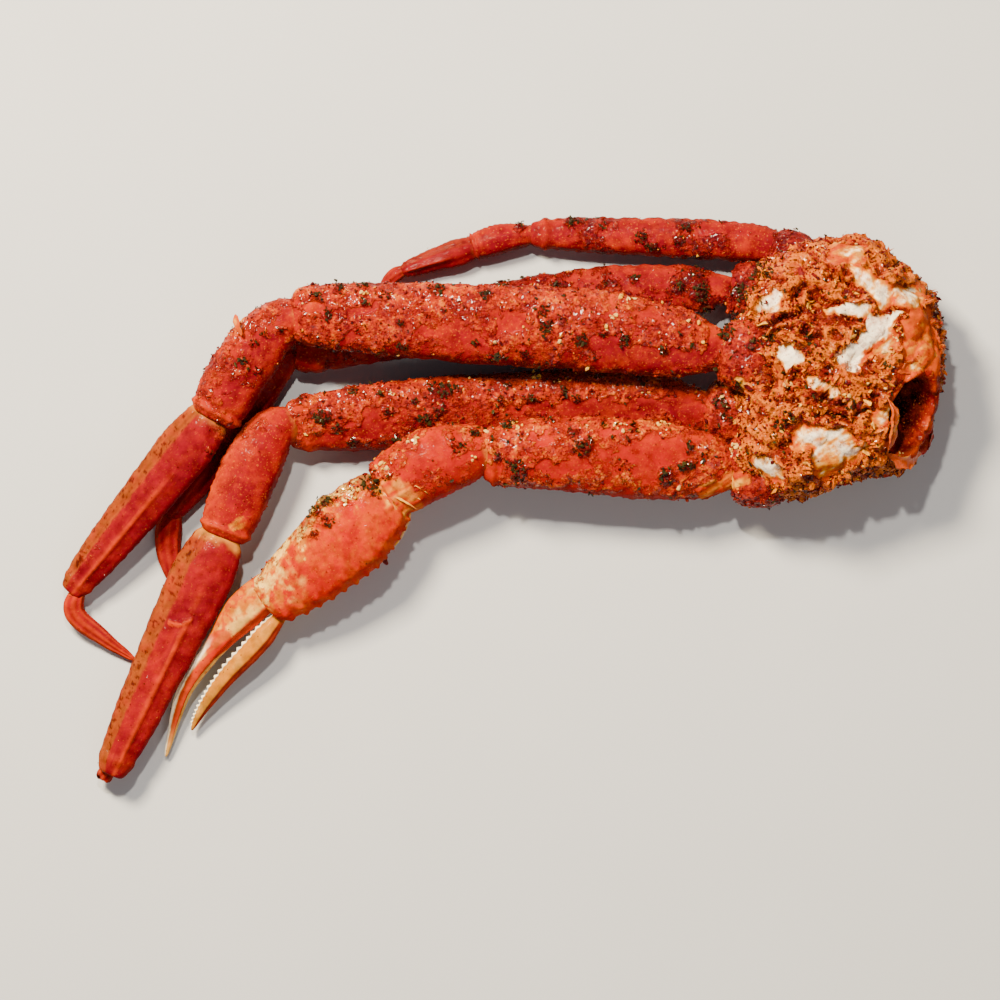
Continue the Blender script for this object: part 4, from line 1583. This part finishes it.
def build_floor(looks):
    """A wide square floor just under the cluster, very softly uneven in tone."""
    half, level = FLOOR_REACH, float(CAD_LOW[2])
    corners = [(x, y, level) for x, y in ((-half, -half), (half, -half), (half, half), (-half, half))]
    mesh = bpy.data.meshes.new("floor")
    mesh.from_pydata(corners, [], [(0, 1, 2, 3)])
    shader = Shader("floor")
    tone = shader.span(shader.noise(FLOOR_PATCHES_MM, 2.0), 0.3, 0.7)
    floor = tuple(looks.floor)
    colour = shader.mix(tone, tuple(value * 0.97 for value in floor), floor)
    mesh.materials.append(shader.finish(Base_Color=colour, Roughness=0.75))
    add_object("floor", mesh)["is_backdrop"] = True


# Lights: name, direction from the cluster, distance in metres, size in metres, watts and colour.
Lamp = namedtuple("Lamp", "name direction distance size watts colour")
LAMPS = (
    Lamp("key", (-0.50, 0.66, 0.92), 1.0, 0.22, 40.5, (1.0, 0.84, 0.60)),
    Lamp("sparkle", (-0.10, 0.60, 1.2), 1.1, 0.05, 10.0, (1.0, 0.92, 0.80)),
    Lamp("fill", (0.3, -0.8, 1.0), 1.4, 0.9, 6.5, (1.0, 0.86, 0.76)),
)


SURROUND_COLOUR = (0.86, 0.92, 1.0, 1.0)
SURROUND_STRENGTH = 0.17


def build_lights():
    """Square soft lights that face the cluster, and an even pale surround."""
    middle = (CAD_LOW + CAD_HIGH) / 2
    for lamp in LAMPS:
        away = np.array(lamp.direction) / np.linalg.norm(lamp.direction)
        data = bpy.data.lights.new(lamp.name, "AREA")
        data.size = lamp.size
        data.energy = lamp.watts
        data.color = lamp.colour
        light = add_object(lamp.name, data)
        light.location = middle + away * lamp.distance
        light.rotation_euler = Vector(away).to_track_quat("Z", "Y").to_euler()
    world = bpy.data.worlds.new("surround")
    world.use_nodes = True
    background = world.node_tree.nodes["Background"]
    background.inputs["Color"].default_value = SURROUND_COLOUR
    background.inputs["Strength"].default_value = SURROUND_STRENGTH
    bpy.context.scene.world = world


# In metres, but for the sensor: the camera's height, and how wide its view is at what height.
CAMERA_HEIGHT = 1.5
VIEW_WIDTH = 0.27
REFERENCE_HEIGHT = 0.012
SENSOR_MM = 36.0


def build_camera(context):
    """A camera straight above the cluster, whose view is 27 cm wide at the limbs' height."""
    middle = (CAD_LOW + CAD_HIGH) / 2
    data = bpy.data.cameras.new("camera")
    data.sensor_width = SENSOR_MM
    data.lens = SENSOR_MM * (CAMERA_HEIGHT - REFERENCE_HEIGHT) / VIEW_WIDTH
    camera = add_object("camera", data)
    camera.location = (middle[0], middle[1], CAD_LOW[2] + CAMERA_HEIGHT)
    context.scene.camera = camera


# ---------------------------------------------------------------- sizes and colours


def colour_property(name, description, default):
    """A colour with linear values from 0 to 1."""
    return FloatVectorProperty(
        name=name, description=description, default=default,
        subtype="COLOR", size=3, min=0.0, max=1.0)


class CrabLooks(bpy.types.PropertyGroup):
    """Sizes and colours of the cluster's finishes."""

    spacing: FloatProperty(
        name="Mesh spacing", description="Distance between mesh points, in millimetres",
        default=0.42, min=0.25, max=2.0)
    crust_thickness: FloatProperty(
        name="Crust thickness", description="Typical height of the crust above the shell",
        subtype="DISTANCE", unit="LENGTH", default=0.00036, min=0.0, max=0.003)
    grains: IntProperty(
        name="Crust grains", description="How many loose grains lie on the crust",
        default=5200, min=0, max=9900)
    crumbs: IntProperty(
        name="Fine crumbs", description="How many fine crumbs lie on the crust and the shell",
        default=7500, min=0, max=9900)
    shreds: IntProperty(
        name="Shreds", description="How many torn shreds lie on the shoulder",
        default=1300, min=0, max=16000)
    flakes: IntProperty(
        name="Herb flakes", description="How many flakes of dark herb lie in the clumps",
        default=4200, min=0, max=16000)
    garlic: IntProperty(
        name="Garlic bits", description="How many bits of minced garlic there are",
        default=300, min=0, max=9000)
    shell: colour_property("Shell", "Bare shell of the legs", (0.24, 0.0045, 0.0065))
    shell_deep: colour_property("Deep shell", "Darker patches of the shell", (0.135, 0.002, 0.0075))
    shell_orange: colour_property("Orange shell", "Keels, lips and specks", (0.42, 0.032, 0.0006))
    shell_under: colour_property("Under shell", "Paler shell underneath", (0.27, 0.036, 0.007))
    shell_band: colour_property(
        "Shell band", "Matte band along the far side of a lower leg", (0.2, 0.038, 0.006))
    shoulder: colour_property("Shoulder", "Orange flesh and shell of the shoulder", (0.42, 0.05, 0.001))
    membrane: colour_property("Membrane", "Cream membrane at joints", (0.72, 0.34, 0.04))
    membrane_white: colour_property("White membrane", "Torn white membrane", (0.98, 0.86, 0.64))
    membrane_red: colour_property("Red membrane", "Stained translucent membrane", (0.1, 0.002, 0.004))
    cavity: colour_property("Chamber", "Inside of the torn chamber", (0.012, 0.0006, 0.0012))
    claw_cream: colour_property("Claw cream", "Palest shell of the claw", (0.8, 0.5, 0.11))
    claw_yellow: colour_property("Claw yellow", "Yellow blotches of the claw", (0.55, 0.165, 0.002))
    claw_tan: colour_property("Claw tan", "Shell of the moving finger", (0.34, 0.135, 0.01))
    claw_red: colour_property(
        "Claw red", "Bright red of the palm and the fingers' stripes", (0.42, 0.008, 0.0003))
    tooth: colour_property("Teeth", "White teeth of the claw", (0.94, 0.88, 0.66))
    crust_dark: colour_property("Dark crust", "Hollows of the crust", (0.038, 0.0016, 0.004))
    crust_mid: colour_property("Crust", "Paste on the limbs", (0.14, 0.0058, 0.0055))
    crust_bright: colour_property("Bright crust", "Raised paste on the limbs", (0.34, 0.024, 0.0015))
    crust_pale: colour_property("Pale crust", "Dry grains of the crust", (0.54, 0.14, 0.008))
    shoulder_dark: colour_property(
        "Dark shoulder crust", "Hollows of the shoulder's crust", (0.11, 0.007, 0.004))
    shoulder_mid: colour_property("Shoulder crust", "Paste on the shoulder", (0.34, 0.052, 0.004))
    shoulder_bright: colour_property(
        "Bright shoulder crust", "Raised paste on the shoulder", (0.5, 0.11, 0.001))
    herb: colour_property("Herb", "Dark cooked herbs", (0.018, 0.011, 0.004))
    herb_green: colour_property("Green herb", "Greener herb flakes", (0.036, 0.03, 0.008))
    garlic_colour: colour_property("Garlic", "Minced garlic", (0.64, 0.32, 0.03))
    floor: colour_property("Floor", "The pale floor", (0.52, 0.535, 0.555))


LEG_CRUST = ("crust_dark", "crust_mid", "crust_bright", "crust_pale")
SHOULDER_CRUST = ("shoulder_dark", "shoulder_mid", "shoulder_bright", "crust_pale")


def looks_of(context):
    """The scene's own sizes and colours."""
    return context.scene.crab_looks


def palette_of(looks, names):
    """The crust palette made of the colours with these names."""
    return Palette(*(tuple(getattr(looks, name)) for name in names))


# ---------------------------------------------------------------- operators


class CRAB_OT_shoulder(bpy.types.Operator):
    """Build the shoulder with its lumps, torn sheets, crumbly crust and open chamber"""

    bl_idname = "crab.shoulder"
    bl_label = "Build Shoulder"

    def execute(self, context):
        looks = looks_of(context)
        SURFACES.clear()
        palette = palette_of(looks, SHOULDER_CRUST)
        material = seasoned_material("shoulder_crust", palette, 0.35, 0.18, 0.05)
        shoulder_piece(looks, material)
        return {"FINISHED"}


class CRAB_OT_claw_arm(bpy.types.Operator):
    """Build the claw arm, from its root to the two fingers"""

    bl_idname = "crab.claw_arm"
    bl_label = "Build Claw Arm"

    def execute(self, context):
        looks = looks_of(context)
        palette = palette_of(looks, LEG_CRUST)
        shell = seasoned_material("claw_shell", palette, 0.38, 0.12, 0.04, 0.4)
        fingers = seasoned_material("claw_fingers", palette, 0.34, 0.10, 0.04, 0.0)
        for part, segment in LIMBS["arm"].items():
            finger = "finger" in part
            material = fingers if finger else shell
            slot = "finger_shell" if finger else "claw_shell"
            segment_piece(looks, "arm", part, segment, material, slot)
        return {"FINISHED"}


class CRAB_OT_walking_legs(bpy.types.Operator):
    """Build the four walking legs, segment by segment"""

    bl_idname = "crab.walking_legs"
    bl_label = "Build Walking Legs"

    def execute(self, context):
        looks = looks_of(context)
        palette = palette_of(looks, LEG_CRUST)
        crusted = seasoned_material("leg_shell", palette, 0.42, 0.12, 0.04)
        bare = seasoned_material("lower_leg_shell", palette, 0.46, 0.10, 0.04, 0.16)
        for limb in ("leg1", "leg2", "leg3", "leg4"):
            for part, segment in LIMBS[limb].items():
                material = bare if part in ("propodus", "dactyl") else crusted
                segment_piece(looks, limb, part, segment, material, "red_shell")
        return {"FINISHED"}


class CRAB_OT_membranes(bpy.types.Operator):
    """Lay strips of torn membrane on the shoulder and at the joints of the claw arm"""

    bl_idname = "crab.membranes"
    bl_label = "Lay Membranes"

    def execute(self, context):
        looks = looks_of(context)
        material = membrane_material()
        parts = []
        for number, strip in enumerate(STRIPS):
            grid = strip_grid(strip, STRIP_THICKNESS, STRIP_SPACING, 300 + number * 11)
            parts.append((grid, strip_paint(looks, strip, grid)))
        piece = joined_object("torn_membranes", parts, material)
        stand_for(piece, "membrane")
        return {"FINISHED"}


class CRAB_OT_seasoning(bpy.types.Operator):
    """Strew crust grains, fine crumbs, herb flakes and garlic over the cluster"""

    bl_idname = "crab.seasoning"
    bl_label = "Strew Seasoning"

    def execute(self, context):
        looks = looks_of(context)
        if not SURFACES:
            self.report({"ERROR"}, "The shells must be built before the seasoning")
            raise RuntimeError("the shells must be built before the seasoning")
        strew_grains(looks)
        strew_shreds(looks)
        strew_crumbs(looks)
        strew_herbs(looks)
        strew_garlic(looks)
        return {"FINISHED"}


class CRAB_OT_stage(bpy.types.Operator):
    """Set the pale floor, the soft studio light and the camera above the cluster"""

    bl_idname = "crab.stage"
    bl_label = "Set Stage"

    def execute(self, context):
        looks = looks_of(context)
        build_floor(looks)
        build_lights()
        build_camera(context)
        return {"FINISHED"}


STEPS = (
    CRAB_OT_shoulder,
    CRAB_OT_claw_arm,
    CRAB_OT_walking_legs,
    CRAB_OT_membranes,
    CRAB_OT_seasoning,
    CRAB_OT_stage,
)


class CRAB_PT_cluster(bpy.types.Panel):
    """Sizes, colours and steps of the cluster"""

    bl_idname = "CRAB_PT_cluster"
    bl_label = "Snow Crab Cluster"
    bl_space_type = "VIEW_3D"
    bl_region_type = "UI"
    bl_category = "Crab"

    def draw(self, context):
        looks = looks_of(context)
        for key in CrabLooks.__annotations__:
            self.layout.prop(looks, key)
        for step in STEPS:
            self.layout.operator(step.bl_idname)


CLASSES = (CrabLooks, *STEPS, CRAB_PT_cluster)


def register():
    """Registers the classes and gives each scene its own looks."""
    for item in CLASSES:
        bpy.utils.register_class(item)
    bpy.types.Scene.crab_looks = PointerProperty(type=CrabLooks)


def unregister():
    """Takes back what register did."""
    del bpy.types.Scene.crab_looks
    for item in reversed(CLASSES):
        bpy.utils.unregister_class(item)


def main():
    """Builds the whole cluster and its stage, step by step."""
    register()
    bpy.ops.crab.shoulder()
    bpy.ops.crab.claw_arm()
    bpy.ops.crab.walking_legs()
    bpy.ops.crab.membranes()
    bpy.ops.crab.seasoning()
    bpy.ops.crab.stage()


if __name__ == "__main__":
    main()
